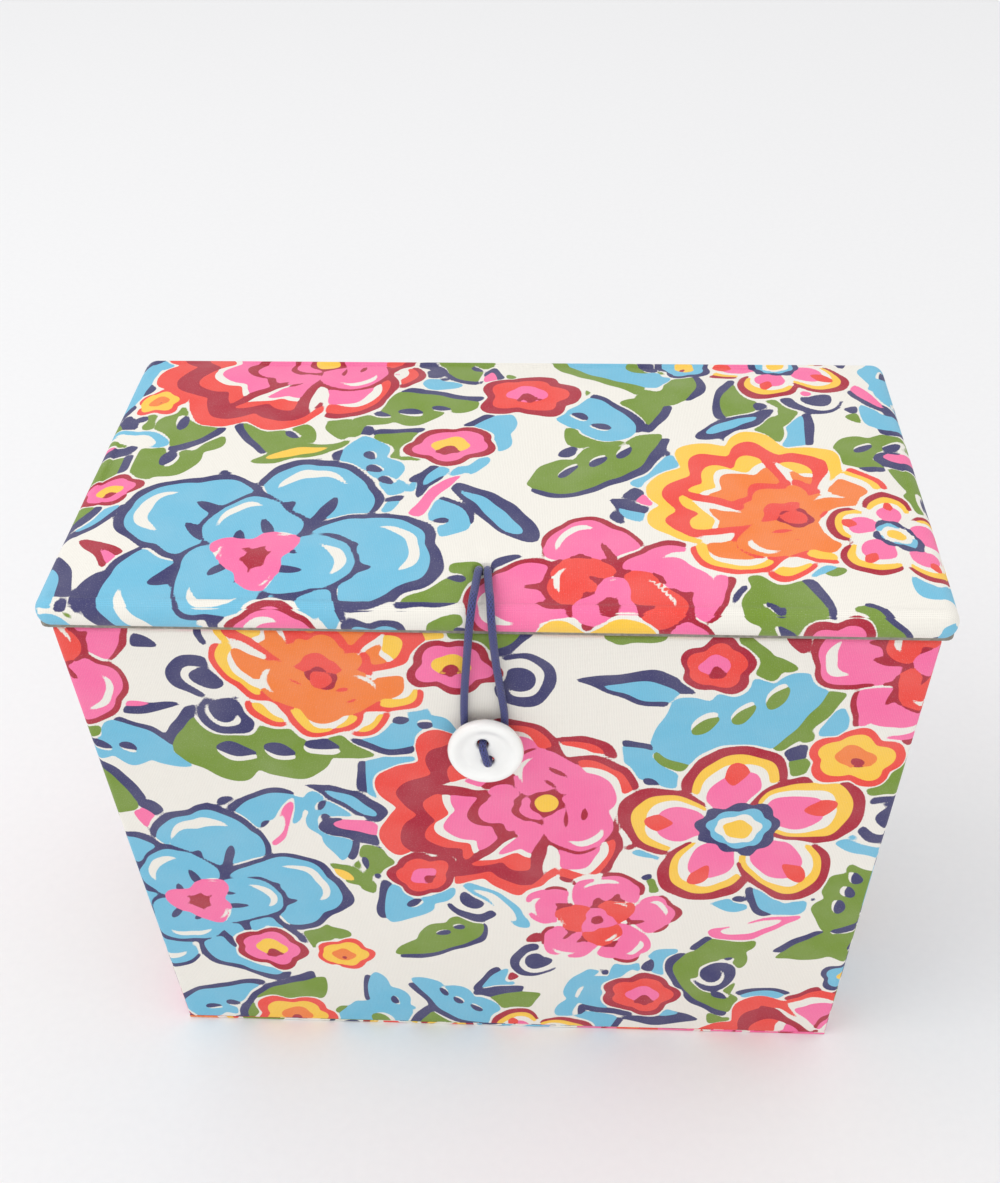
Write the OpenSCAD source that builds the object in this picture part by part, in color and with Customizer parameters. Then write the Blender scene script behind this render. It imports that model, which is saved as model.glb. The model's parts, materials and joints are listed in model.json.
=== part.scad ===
// Cloth-covered sewing box with a padded flap lid, a button and elastic loop, and two lift-out trays.
// Origin: centre of the resting face. +X runs along the width, the button faces -Y, +Z is up.

/* [Box] */
// Width of the box at its rim
box_w = 282; // [220:1:345]
// Depth of the box at its rim
box_d = 158; // [130:1:195]
// Height of the box from its resting face to its rim
box_h = 220; // [183:1:270]
// How far each end wall leans in between rim and base
end_lean = 10; // [0:1:14]
// How far the front and back walls lean in between rim and base
side_lean = 14; // [0:1:17]

/* [Board and cloth] */
// Thickness of the stiff boards
board_t = 3; // [2:0.5:4]
// Thickness of the glued printed cloth
cover_t = 1; // [0.8:0.1:1.4]
// Thickness of a cloth-covered lining card
lining_t = 1.5; // [1:0.1:2]
// Thickness of the covered panel under the base
base_t = 1.5; // [1:0.1:2.5]
// How far the printed cloth turns down inside the rim
rim_turn = 12; // [8:1:20]

/* [Lid] */
// Overall thickness of the padded lid
lid_t = 12; // [10:0.5:18]
// How far the lid stands out past each end wall
lid_side_lap = 4; // [1:0.5:8]
// How far the lid stands out past the front wall
lid_front_lap = 2.5; // [1:0.5:8]
// Corner radius of the lid, seen from above
lid_corner_r = 4; // [2:0.5:10]
// Radius of the rolled edge round the top of the lid
lid_edge_r = 4; // [2:0.5:6]
// Gap between the closed lid and the rim
lid_gap = 0.4; // [0.2:0.1:1]
// Width of the printed cloth turned under the lid
lid_turn = 14; // [10:1:20]
// Thickness of the soft pad inside the lid
inner_pad_t = 3; // [2:0.5:6]
// Room between the inner lid pad and the rim all round
mouth_gap = 3; // [2:0.5:5]

/* [Hinge cloth] */
// Thickness of the hinge cloth
hinge_t = 1; // [0.6:0.1:1.5]
// How far the hinge cloth is glued down the back wall
hinge_drop = 30; // [20:1:45]
// How far the hinge cloth stops short of each end
hinge_end_gap = 6; // [2:1:20]

/* [Trays] */
// Thickness of a covered tray board
tray_t = 2.5; // [2:0.1:3.5]
// Height of the upper tray
upper_h = 35; // [25:1:42]
// Height of the lower tray
lower_h = 40; // [30:1:50]
// Distance from the rim down to the top of the upper tray
upper_drop = 19; // [16:1:30]
// Free height between the two trays, under the upper ledges
stack_gap = 5; // [3:1:12]
// Room between a tray and the end linings
end_gap = 2; // [1.5:0.5:4]
// Room between a tray and the front and back linings
side_gap = 4; // [4:0.5:8]
// Thickness of the soft mat in each compartment
mat_t = 1.5; // [1:0.5:3]
// Gap round each mat
mat_gap = 0.5; // [0.3:0.1:1]
// Depth of the long front compartment as a share of the upper tray
front_share = 0.46; // [0.3:0.01:0.6]
// Number of small compartments along the back of the upper tray
small_count = 4; // [2:1:6]
// Number of compartments in the lower tray
lower_count = 3; // [2:1:4]

/* [Ledges] */
// Thickness of the ledges that carry the trays
ledge_t = 4; // [3:0.5:6]
// Width of the upper ledges
ledge_w = 8; // [6:0.5:12]
// How far the lower ledges reach under the lower tray
ledge_reach = 6; // [4:0.5:10]

/* [Lifting tabs] */
// Width of a ribbon tab
tab_w = 16; // [10:1:25]
// Thickness of a ribbon tab
tab_t = 1.2; // [0.8:0.1:2]
// How far a tab stands above its tray
tab_rise = 9; // [6:1:10]
// How far a tab is glued down inside its tray
tab_glue = 14; // [8:1:18]

/* [Button] */
// Diameter of the button
button_d = 25.4; // [20:0.1:30]
// Thickness of the button at its rim
button_t = 4.4; // [3:0.1:6]
// Width of the raised rim of the button
button_rim = 3.2; // [2:0.1:4]
// Depth of the dish inside the rim
button_dish = 1.2; // [0.6:0.1:1.8]
// Distance between the centres of the two thread holes
thread_pitch = 7; // [6:0.1:9]
// Turn of the pair of thread holes away from upright, in degrees
thread_turn = 15; // [0:1:45]
// Diameter of the holes in the button
button_hole_d = 4; // [3.8:0.1:4.4]
// Upward tilt of the button, in degrees
button_tilt = 9; // [0:1:10]
// Distance of the button from the rim, down the front wall
button_drop = 46.5; // [42:0.5:60]
// Sideways place of the button
button_x = -2.5; // [-10:0.5:10]
// Room behind the middle of the button for the loop
button_standoff = 5.2; // [5:0.1:7]
// Diameter of the backing washer inside the front wall
washer_d = 16; // [14:1:20]
// Thickness of the backing washer
washer_t = 0.8; // [0.5:0.1:1]

/* [Elastic] */
// Diameter of the round elastic cord
elastic_d = 2.6; // [2:0.1:3]
// Clearance of the elastic in the holes of boards and cards
elastic_clear = 0.4; // [0.2:0.1:1]
// Diameter of the knot under the lid board
knot_d = 8; // [6:0.5:9]
// Height of the knot
knot_h = 3; // [2:0.5:3.5]
// Diameter of the pocket round the knot
pocket_d = 10; // [10:0.5:12]
// Sideways place of the elastic's hole in the lid
elastic_x = -3; // [-10:0.5:10]
// Distance of the elastic's hole behind the lid's front edge
elastic_back = 21.5; // [18:0.5:30]
// Distance between the two strands in the hole
strand_gap = 2.8; // [2.7:0.1:4]

/* [Hidden] */
$fn = 48;

// Colours
cloth_c = "#D9C7BE";
lining_c = "#86B9CC";
card_c = "#9A948B";
foam_c = "#F3EFE4";
navy_c = "#3A3A78";
white_c = "#F7F6F2";
mat_c = "#F1EADB";

// Wall layers, counted inwards from the outside of the box
board_in = cover_t + board_t;
lining_in = board_in + lining_t;
rim_in = board_in + cover_t;
floor_z = base_t + board_t;
lining_z = floor_z + lining_t;

// Overrun of a cut past the face it opens, and thickness of the slices that a hull is drawn over
over = 1;
skin_t = 0.01;

// Lid levels
lid_z = box_h + lid_gap;
lid_top = lid_z + lid_t;
lid_board_z = lid_z + cover_t;
lid_padding_z = lid_board_z + board_t;
card_z = lid_z - lining_t;
inner_pad_z = card_z - inner_pad_t;
lid_front = -(box_d / 2 + lid_front_lap);
elastic_y = lid_front + elastic_back;

// Tray levels and sizes
upper_z = box_h - upper_drop - upper_h;
lower_z = upper_z - ledge_t - stack_gap - lower_h;
upper_half_w = half_w(upper_z) - lining_in - end_gap;
upper_half_d = half_d(upper_z) - lining_in - side_gap;
lower_half_w = half_w(upper_z - ledge_t) - lining_in - ledge_w - end_gap;
lower_half_d = half_d(lower_z) - lining_in - side_gap;
lower_ledge_w = half_w(lower_z) - lining_in - lower_half_w + ledge_reach;
long_divider_y = -upper_half_d + tray_t + front_share * (2 * upper_half_d - 3 * tray_t);

// Button place on the leaning front wall
front_angle = atan(side_lean / box_h);
elastic_r = elastic_d / 2;
thread_hole_d = elastic_d + elastic_clear;

// Half width and half depth of the outside of the box at height z
function half_w(z) = box_w / 2 - end_lean * (box_h - z) / box_h;
function half_d(z) = box_d / 2 - side_lean * (box_h - z) / box_h;

// The interval between the layers near and far, on the side s of a box whose half size is h
function layer(s, h, near, far) = s < 0 ? [near - h, far - h] : [h - far, h - near];

// Route of the elastic: up from the knot, over the lid's front edge, round behind the button and back
ELASTIC_ROUTE = [
  [-4.4, -60, 221.4], [-4.4, -60, 225], [-4.4, -60.2, 229], [-4.4, -61.8, 232.4], [-4.5, -65, 233.8],
  [-4.8, -70, 233.9], [-5.1, -75, 233.9], [-5.3, -78, 233.9], [-5.6, -81.4, 232.4], [-6, -83, 229.4],
  [-6.4, -83.1, 226], [-6.9, -82.9, 221], [-7.4, -82.1, 215.3], [-8, -81.1, 208.7], [-8.6, -80.1, 202.1],
  [-9.2, -79, 194.5], [-9.6, -78.4, 185.5], [-9.5, -77.9, 177.5], [-8.6, -77.5, 171.5], [-6.6, -77.3, 167.9],
  [-3.4, -77.2, 166.4], [0.1, -77.3, 167.7], [2.4, -77.5, 171.5], [3.5, -77.9, 177.5], [3.7, -78.4, 185.5],
  [2.9, -79, 194.5], [2.2, -80.1, 202.1], [1.6, -81.1, 208.7], [1.2, -82.1, 215.3], [0.9, -82.9, 221],
  [0.7, -83.1, 226], [0.5, -83, 229.4], [0.3, -81.4, 232.4], [0, -78, 233.9], [-0.4, -75, 233.9],
  [-0.9, -70, 233.9], [-1.4, -65, 233.8], [-1.6, -61.8, 232.4], [-1.6, -60.2, 229], [-1.6, -60, 225],
  [-1.6, -60, 221.4]
];
RING_SIDES = 8;

// A closed block from the rectangle a at height z0 to the rectangle b at height z1, each [x0, x1, y0, y1]
module block(a, b, z0, z1) {
  polyhedron(
    points = [
      [a[0], a[2], z0], [a[1], a[2], z0], [a[1], a[3], z0], [a[0], a[3], z0],
      [b[0], b[2], z1], [b[1], b[2], z1], [b[1], b[3], z1], [b[0], b[3], z1]
    ],
    faces = [
      [0, 1, 2, 3], [4, 5, 1, 0], [7, 6, 5, 4], [5, 6, 2, 1], [6, 7, 3, 2], [7, 4, 0, 3]
    ]
  );
}

// The whole box shape, inset by d, between two heights
module box_shape(d, z0, z1) {
  a = half_w(z0) - d;
  b = half_d(z0) - d;
  e = half_w(z1) - d;
  f = half_d(z1) - d;
  block([-a, a, -b, b], [-e, e, -f, f], z0, z1);
}

// A front (s = -1) or back (s = 1) wall layer that stops ends short of the outside of the end walls
module long_wall(s, near, far, ends, z0, z1) {
  a = half_w(z0) - ends;
  b = half_w(z1) - ends;
  block(
    concat([-a, a], layer(s, half_d(z0), near, far)),
    concat([-b, b], layer(s, half_d(z1), near, far)),
    z0, z1
  );
}

// A left (s = -1) or right (s = 1) wall layer that stops ends short of the outside of the long walls
module end_wall(s, near, far, ends, z0, z1) {
  a = half_d(z0) - ends;
  b = half_d(z1) - ends;
  block(
    concat(layer(s, half_w(z0), near, far), [-a, a]),
    concat(layer(s, half_w(z1), near, far), [-b, b]),
    z0, z1
  );
}

// Puts its children on the front wall at the button, with +Z out of the wall and +Y up it
module at_button() {
  translate([button_x, -box_d / 2, box_h])
    rotate([90 + front_angle, 0, 0])
      translate([0, -button_drop, 0])
        children();
}

// Puts a copy of its children at each of the two thread holes
module at_threads() {
  for (s = [-1, 1])
    rotate(thread_turn) translate([0, s * thread_pitch / 2, 0]) children();
}

// The two thread holes through the front wall
module thread_holes() {
  at_button() at_threads() translate([0, 0, -3 * lining_in]) cylinder(d = thread_hole_d, h = 4 * lining_in);
}

// Outline of the lid, inset by d
module lid_outline(d) {
  r = max(lid_corner_r - d, 1);
  w = box_w / 2 + lid_side_lap - d;
  front = lid_front + d;
  back = box_d / 2 - d;
  points = [
    for (c = [[w - r, back - r, 0], [r - w, back - r, 90], [r - w, front + r, 180], [w - r, front + r, 270]])
      for (step = [0:4])
        let (angle = c[2] + step * 22.5) [c[0] + r * cos(angle), c[1] + r * sin(angle)]
  ];
  polygon(points);
}

// The lid's padded shape, inset by d, from height z up to its rolled top edge
module lid_shape(d, z) {
  r = lid_edge_r - d;
  hull() {
    translate([0, 0, z]) linear_extrude(skin_t) lid_outline(d);
    for (a = [0:22.5:90])
      translate([0, 0, lid_top - d - r + r * sin(a) - skin_t])
        linear_extrude(skin_t) lid_outline(d + r * (1 - cos(a)));
  }
}

// Passage of the two elastic strands through one layer of the lid, drawn out forwards by shift
module elastic_passage(z0, z1, shift) {
  for (y = [0, -shift])
    translate([elastic_x, elastic_y + y, z0])
      cylinder(d = strand_gap + elastic_d + 2 * elastic_clear, h = z1 - z0);
}

// Sides of a tray: the front and back boards, full width
module tray_sides(w, d, z, h) {
  for (s = [-1, 1])
    translate([-w, s < 0 ? -d : d - tray_t, z + tray_t]) cube([2 * w, tray_t, h - tray_t]);
}

// Ends of a tray, between its sides
module tray_ends(w, d, z, h) {
  for (s = [-1, 1])
    translate([s < 0 ? -w : w - tray_t, tray_t - d, z + tray_t])
      cube([tray_t, 2 * (d - tray_t), h - tray_t]);
}

// Cross dividers that split a length into count equal parts, between y0 and y1
module cross_dividers(w, count, y0, y1, z, h) {
  pitch = (2 * (w - tray_t) + tray_t) / count;
  for (i = [1:count - 1])
    translate([tray_t - w - tray_t + i * pitch, y0, z + tray_t]) cube([tray_t, y1 - y0, h]);
}

// A mat in each of count compartments between y0 and y1
module mats(w, count, y0, y1, z) {
  pitch = (2 * (w - tray_t) + tray_t) / count;
  for (i = [0:count - 1])
    translate([tray_t - w + i * pitch + mat_gap, y0 + mat_gap, z + tray_t])
      cube([pitch - tray_t - 2 * mat_gap, y1 - y0 - 2 * mat_gap, mat_t]);
}

// Ribbon tabs glued inside the two ends of a tray
module tray_tabs(w, y, z, h) {
  for (s = [-1, 1])
    translate([s < 0 ? tray_t - w : w - tray_t - tab_t, y - tab_w / 2, z + h - tab_glue])
      cube([tab_t, tab_w, tab_glue + tab_rise]);
}

module base_panel() {
  color(cloth_c) box_shape(0, 0, base_t);
}

module bottom_board() {
  color(card_c) box_shape(board_in, base_t, floor_z);
}

module front_board() {
  color(card_c) difference() {
    long_wall(-1, cover_t, board_in, cover_t, base_t, box_h - cover_t);
    thread_holes();
  }
}

module back_board() {
  color(card_c) long_wall(1, cover_t, board_in, cover_t, base_t, box_h - cover_t);
}

module left_board() {
  color(card_c) end_wall(-1, cover_t, board_in, board_in, base_t, box_h - cover_t);
}

module right_board() {
  color(card_c) end_wall(1, cover_t, board_in, board_in, base_t, box_h - cover_t);
}

// Printed cloth round the four walls and over the rim
module body_cover() {
  color(cloth_c) difference() {
    box_shape(0, base_t, box_h);
    box_shape(cover_t, base_t - over, box_h - cover_t);
    box_shape(rim_in, base_t, box_h + over);
    thread_holes();
  }
}

// The same cloth where it is turned down inside the rim
module rim_facing() {
  color(cloth_c) difference() {
    box_shape(board_in, box_h - rim_turn, box_h - cover_t);
    box_shape(rim_in, box_h - rim_turn - over, box_h);
  }
}

module floor_lining() {
  color(lining_c) box_shape(board_in, floor_z, lining_z);
}

module front_lining() {
  color(lining_c) difference() {
    long_wall(-1, board_in, lining_in, board_in, lining_z, box_h - rim_turn);
    thread_holes();
  }
}

module back_lining() {
  color(lining_c) long_wall(1, board_in, lining_in, board_in, lining_z, box_h - rim_turn);
}

module left_lining() {
  color(lining_c) end_wall(-1, board_in, lining_in, lining_in, lining_z, box_h - rim_turn);
}

module right_lining() {
  color(lining_c) end_wall(1, board_in, lining_in, lining_in, lining_z, box_h - rim_turn);
}

module upper_ledges() {
  color(lining_c) for (s = [-1, 1])
    end_wall(s, lining_in, lining_in + ledge_w, lining_in, upper_z - ledge_t, upper_z);
}

module lower_ledges() {
  color(lining_c) for (s = [-1, 1])
    end_wall(s, lining_in, lining_in + lower_ledge_w, lining_in, lower_z - ledge_t, lower_z);
}

// Cloth glued to the back wall and to the back edge of the lid
module hinge_cloth() {
  color(cloth_c) union() {
    long_wall(1, -hinge_t, 0, hinge_end_gap, box_h - hinge_drop, box_h);
    translate([hinge_end_gap - box_w / 2, box_d / 2, box_h])
      cube([box_w - 2 * hinge_end_gap, hinge_t, lid_top - lid_corner_r - box_h]);
  }
}

// Round button with a rolled rim, a shallow dish and two holes
module button() {
  r = button_d / 2;
  roll = button_t / 3;
  dish_r = r - button_rim;
  color(white_c) at_button() translate([0, 0, button_standoff]) rotate([-button_tilt, 0, 0])
    difference() {
      rotate_extrude($fn = 96) polygon(concat(
        [[0, 0]],
        [for (a = [-90:22.5:0]) [r - roll + roll * cos(a), roll + roll * sin(a)]],
        [for (a = [0:22.5:90]) [r - roll + roll * cos(a), button_t - roll + roll * sin(a)]],
        [[dish_r + roll / 2, button_t - button_dish / 4], [dish_r, button_t - button_dish]],
        [[0, button_t - button_dish]]
      ));
      at_threads() translate([0, 0, -over]) cylinder(d = button_hole_d, h = button_t + 2 * over);
    }
}

// Height of the bar's centre above the front wall at the upper (s = 1) or lower (s = -1) hole
function bar_height(s) = button_standoff + (button_t - button_dish) / cos(button_tilt) + elastic_r + 0.1
  - s * cos(thread_turn) * thread_pitch / 2 * tan(button_tilt);

// Points of a round corner about [y, z], from angle a0 to angle a1
function corner(y, z, r, a0, a1) = [
  for (k = [0:3]) let (a = a0 + (a1 - a0) * k / 3) [0, y + r * cos(a), z + r * sin(a)]
];

// Cord through the button and the front wall, with its bar in front and its two ends tied behind
module button_cord() {
  r = elastic_r + 0.3;
  end_gap_half = 0.3;
  y = thread_pitch / 2;
  back = -lining_in - washer_t - elastic_r;
  route = concat(
    [[0, -end_gap_half, back]],
    corner(r - y, back + r, r, 270, 180),
    corner(r - y, bar_height(-1) - r, r, 180, 90),
    corner(y - r, bar_height(1) - r, r, 90, 0),
    corner(y - r, back + r, r, 0, -90),
    [[0, end_gap_half, back]]
  );
  color(navy_c) at_button() rotate(thread_turn) tube(route, elastic_r, RING_SIDES);
}

module button_washer() {
  color(white_c) at_button() translate([0, 0, -lining_in - washer_t]) difference() {
    cylinder(d = washer_d, h = washer_t);
    at_threads() translate([0, 0, -over]) cylinder(d = thread_hole_d, h = washer_t + 2 * over);
  }
}

module lid_board() {
  color(card_c) difference() {
    translate([0, 0, lid_board_z]) linear_extrude(board_t) lid_outline(cover_t);
    elastic_passage(lid_board_z - over, lid_board_z + board_t + over, 0);
  }
}

module lid_padding() {
  color(foam_c) difference() {
    lid_shape(cover_t, lid_padding_z);
    elastic_passage(lid_padding_z - over, lid_top + over, elastic_d);
  }
}

// Printed cloth over the lid's padding and board, turned under all round
module lid_cover() {
  color(cloth_c) difference() {
    lid_shape(0, lid_z);
    lid_shape(cover_t, lid_board_z);
    translate([0, 0, lid_z - over]) linear_extrude(cover_t + 2 * over) lid_outline(lid_turn);
    elastic_passage(lid_top - cover_t - over, lid_top + over, elastic_d);
  }
}

// Outline of the pad inside the lid: the mouth of the box less the room round it
module inner_outline() {
  w = box_w / 2 - rim_in - mouth_gap;
  d = box_d / 2 - rim_in - mouth_gap;
  translate([-w, -d]) square([2 * w, 2 * d]);
}

module lid_inner_card() {
  color(lining_c) difference() {
    union() {
      translate([0, 0, card_z]) linear_extrude(lining_t) inner_outline();
      translate([0, 0, card_z]) linear_extrude(lining_t + cover_t) intersection() {
        inner_outline();
        lid_outline(lid_turn);
      }
    }
    translate([elastic_x, elastic_y, card_z - over])
      cylinder(d = pocket_d, h = lining_t + cover_t + 2 * over);
  }
}

module lid_inner_pad() {
  color(lining_c) difference() {
    translate([0, 0, inner_pad_z]) linear_extrude(inner_pad_t) inner_outline();
    translate([elastic_x, elastic_y, lid_board_z - knot_h - 0.2]) cylinder(d = pocket_d, h = knot_h + over);
  }
}

module elastic_knot() {
  color(navy_c) translate([elastic_x, elastic_y, lid_board_z - knot_h])
    cylinder(d = knot_d, h = knot_h);
}

function unit(v) = v / norm(v);

// The same side vector carried along a list of directions without twisting
function carry(dirs, i, side) = i == len(dirs) ? [] :
  let (flat = side - (side * dirs[i]) * dirs[i], here = unit(flat))
    concat([here], carry(dirs, i + 1, here));

// A round tube swept along the points p
module tube(p, r, sides) {
  n = len(p);
  dirs = [for (i = [0:n - 1]) unit(p[min(i + 1, n - 1)] - p[max(i - 1, 0)])];
  across = carry(dirs, 0, [1, 0.01, 0]);
  points = [
    for (i = [0:n - 1])
      for (k = [0:sides - 1])
        let (a = 360 * k / sides) p[i] + r * (cos(a) * across[i] + sin(a) * cross(dirs[i], across[i]))
  ];
  skin = [
    for (i = [0:n - 2])
      for (k = [0:sides - 1])
        let (a = i * sides + k, b = i * sides + (k + 1) % sides)
          each [[a, a + sides, b + sides], [a, b + sides, b]]
  ];
  first = [for (k = [0:sides - 1]) k];
  last = [for (k = [sides - 1:-1:0]) (n - 1) * sides + k];
  polyhedron(points, concat(skin, [first, last]));
}

module elastic_loop() {
  color(navy_c) tube(ELASTIC_ROUTE, elastic_r, RING_SIDES);
}

module upper_tray_floor() {
  color(lining_c) translate([-upper_half_w, -upper_half_d, upper_z])
    cube([2 * upper_half_w, 2 * upper_half_d, tray_t]);
}

module upper_tray_sides() {
  color(lining_c) tray_sides(upper_half_w, upper_half_d, upper_z, upper_h);
}

module upper_tray_ends() {
  color(lining_c) tray_ends(upper_half_w, upper_half_d, upper_z, upper_h);
}

module upper_tray_long_divider() {
  color(lining_c) translate([tray_t - upper_half_w, long_divider_y, upper_z + tray_t])
    cube([2 * (upper_half_w - tray_t), tray_t, upper_h - 2 * tray_t]);
}

module upper_tray_cross_dividers() {
  color(lining_c) cross_dividers(
    upper_half_w, small_count, long_divider_y + tray_t, upper_half_d - tray_t, upper_z, upper_h - 2 * tray_t
  );
}

module upper_tray_mats() {
  color(mat_c) {
    mats(upper_half_w, 1, tray_t - upper_half_d, long_divider_y, upper_z);
    mats(upper_half_w, small_count, long_divider_y + tray_t, upper_half_d - tray_t, upper_z);
  }
}

module upper_tray_tabs() {
  color(navy_c) tray_tabs(upper_half_w, (tray_t - upper_half_d + long_divider_y) / 2, upper_z, upper_h);
}

module lower_tray_floor() {
  color(lining_c) translate([-lower_half_w, -lower_half_d, lower_z])
    cube([2 * lower_half_w, 2 * lower_half_d, tray_t]);
}

module lower_tray_sides() {
  color(lining_c) tray_sides(lower_half_w, lower_half_d, lower_z, lower_h);
}

module lower_tray_ends() {
  color(lining_c) tray_ends(lower_half_w, lower_half_d, lower_z, lower_h);
}

module lower_tray_cross_dividers() {
  color(lining_c) cross_dividers(
    lower_half_w, lower_count, tray_t - lower_half_d, lower_half_d - tray_t, lower_z, lower_h - 2 * tray_t
  );
}

module lower_tray_mats() {
  color(mat_c) mats(lower_half_w, lower_count, tray_t - lower_half_d, lower_half_d - tray_t, lower_z);
}

module lower_tray_tabs() {
  color(navy_c) tray_tabs(lower_half_w, 0, lower_z, lower_h);
}

base_panel();
bottom_board();
front_board();
back_board();
left_board();
right_board();
body_cover();
rim_facing();
floor_lining();
front_lining();
back_lining();
left_lining();
right_lining();
upper_ledges();
lower_ledges();
hinge_cloth();
button();
button_cord();
button_washer();
lid_board();
lid_padding();
lid_cover();
lid_inner_card();
lid_inner_pad();
elastic_knot();
elastic_loop();
upper_tray_floor();
upper_tray_sides();
upper_tray_ends();
upper_tray_long_divider();
upper_tray_cross_dividers();
upper_tray_mats();
upper_tray_tabs();
lower_tray_floor();
lower_tray_sides();
lower_tray_ends();
lower_tray_cross_dividers();
lower_tray_mats();
lower_tray_tabs();
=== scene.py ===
"""Looks of a cloth-covered sewing box: printed cotton, padded lid, elastic loop and button, and two trays.

Lengths written in millimetres end in _mm or are scaled by MM where they are used; meshes are in metres.
"""

import json
import logging
import math
from collections.abc import Callable
from dataclasses import dataclass, field
from enum import Enum

import bpy
import numpy as np
from mathutils import Matrix, Vector


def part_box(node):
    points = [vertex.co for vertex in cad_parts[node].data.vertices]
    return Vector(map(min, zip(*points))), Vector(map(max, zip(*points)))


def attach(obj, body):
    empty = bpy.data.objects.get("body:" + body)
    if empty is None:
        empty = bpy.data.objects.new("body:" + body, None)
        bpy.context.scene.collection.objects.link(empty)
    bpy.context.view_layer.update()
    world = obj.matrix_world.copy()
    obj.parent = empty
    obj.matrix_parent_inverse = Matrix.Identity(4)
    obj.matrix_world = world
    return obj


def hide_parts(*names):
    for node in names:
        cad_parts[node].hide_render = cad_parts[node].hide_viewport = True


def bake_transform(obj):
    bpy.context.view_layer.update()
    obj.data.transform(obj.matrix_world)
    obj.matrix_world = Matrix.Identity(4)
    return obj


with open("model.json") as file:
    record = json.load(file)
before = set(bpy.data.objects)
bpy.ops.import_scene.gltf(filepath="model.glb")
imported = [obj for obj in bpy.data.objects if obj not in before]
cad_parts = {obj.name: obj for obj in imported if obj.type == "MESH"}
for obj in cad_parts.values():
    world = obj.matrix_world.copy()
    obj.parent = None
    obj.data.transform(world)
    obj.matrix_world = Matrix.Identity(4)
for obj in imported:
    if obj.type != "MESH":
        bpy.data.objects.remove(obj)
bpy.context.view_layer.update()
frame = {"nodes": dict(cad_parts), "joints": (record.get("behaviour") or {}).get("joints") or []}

log = logging.getLogger("sewing_box")
MM = 0.001
TAU = 2.0 * math.pi
SETTLING_FRAMES = 20
WELD = 1e-6


# --------------------------------------------------------------------------- shader graph


class Value:
    """A number that varies over a surface: a shader socket that takes part in Python arithmetic."""

    def __init__(self, graph: "Graph", socket: bpy.types.NodeSocket) -> None:
        """Wraps an output socket of a graph."""
        self.graph = graph
        self.socket = socket

    def _math(self, operation: str, *values: object) -> "Value":
        """One Math node."""
        return self.graph.value("ShaderNodeMath", {"operation": operation}, dict(enumerate(values)))

    def __add__(self, other: object) -> "Value":
        """self + other."""
        return self._math("ADD", self, other)

    def __sub__(self, other: object) -> "Value":
        """self - other."""
        return self._math("SUBTRACT", self, other)

    def __mul__(self, other: object) -> "Value":
        """self * other."""
        return self._math("MULTIPLY", self, other)

    def __rsub__(self, other: object) -> "Value":
        """other - self."""
        return self._math("SUBTRACT", other, self)

    def __abs__(self) -> "Value":
        """Its size without its sign."""
        return self._math("ABSOLUTE", self)

    __radd__ = __add__
    __rmul__ = __mul__

    def sin(self) -> "Value":
        """Its sine."""
        return self._math("SINE", self)

    def maximum(self, other: object) -> "Value":
        """The larger of the two."""
        return self._math("MAXIMUM", self, other)

    def clamped(self) -> "Value":
        """It, held between 0 and 1."""
        return self.graph.value("ShaderNodeClamp", {}, {"Value": self})


class Graph:
    """The node tree of one material, with a single way to add a node."""

    def __init__(self, name: str) -> None:
        """Starts a material with an empty surface shader."""
        self.material = bpy.data.materials.new(name)
        self.material.use_nodes = True
        self.tree = self.material.node_tree
        self.tree.nodes.clear()

    def node(self, kind: str, settings: dict[str, object], inputs: dict[object, object]) -> bpy.types.Node:
        """Adds a node.

        Args:
            kind: The node's type.
            settings: Its own properties, set first.
            inputs: Its sockets by name or number, each a number, a colour or a Value.

        Returns:
            The node.
        """
        made = self.tree.nodes.new(kind)
        for key, setting in settings.items():
            setattr(made, key, setting)
        for key, given in inputs.items():
            socket = made.inputs[key]
            if isinstance(given, Value):
                self.tree.links.new(given.socket, socket)
            else:
                socket.default_value = given
        return made

    def value(
        self, kind: str, settings: dict[str, object], inputs: dict[object, object], output: object = 0
    ) -> Value:
        """Adds a node and returns one of its outputs."""
        return Value(self, self.node(kind, settings, inputs).outputs[output])

    def mix(self, share: object, first: object, second: object) -> Value:
        """A colour between two colours."""
        inputs = {0: share, 6: first, 7: second}
        return self.value("ShaderNodeMix", {"data_type": "RGBA"}, inputs, 2)

    def noise(self, place: Value, scale: float, detail: float = 2.0) -> Value:
        """Soft noise at a place, about 0 to 1, with scale in features a metre."""
        return self.value("ShaderNodeTexNoise", {}, {"Vector": place, "Scale": scale, "Detail": detail})

    def place(self, space: str) -> Value:
        """The point's place: Object, or UV in metres along the cloth."""
        return self.value("ShaderNodeTexCoord", {}, {}, space)

    def parts(self, vector: Value) -> tuple[Value, Value, Value]:
        """A vector's three numbers."""
        split = self.node("ShaderNodeSeparateXYZ", {}, {0: vector})
        return tuple(Value(self, socket) for socket in split.outputs)

    def surface(
        self, colour: object, roughness: object, height: Value | None, relief: float, **steady: object
    ) -> bpy.types.Material:
        """Finishes the material with one Principled shader.

        Args:
            colour: Base colour.
            roughness: Roughness.
            height: Height of the relief, 0 to 1, or None.
            relief: Depth of the relief at height 1, in metres.
            **steady: Other sockets of the shader, all plain numbers, with _ for a space.

        Returns:
            The material.
        """
        inputs = {"Base Color": colour, "Roughness": roughness}
        inputs.update({key.replace("_", " "): number for key, number in steady.items()})
        if height is not None:
            bump = self.value("ShaderNodeBump", {}, {"Strength": 1.0, "Distance": relief, "Height": height})
            inputs["Normal"] = bump
        shader = self.value("ShaderNodeBsdfPrincipled", {}, inputs)
        self.node("ShaderNodeOutputMaterial", {}, {"Surface": shader})
        return self.material


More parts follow.
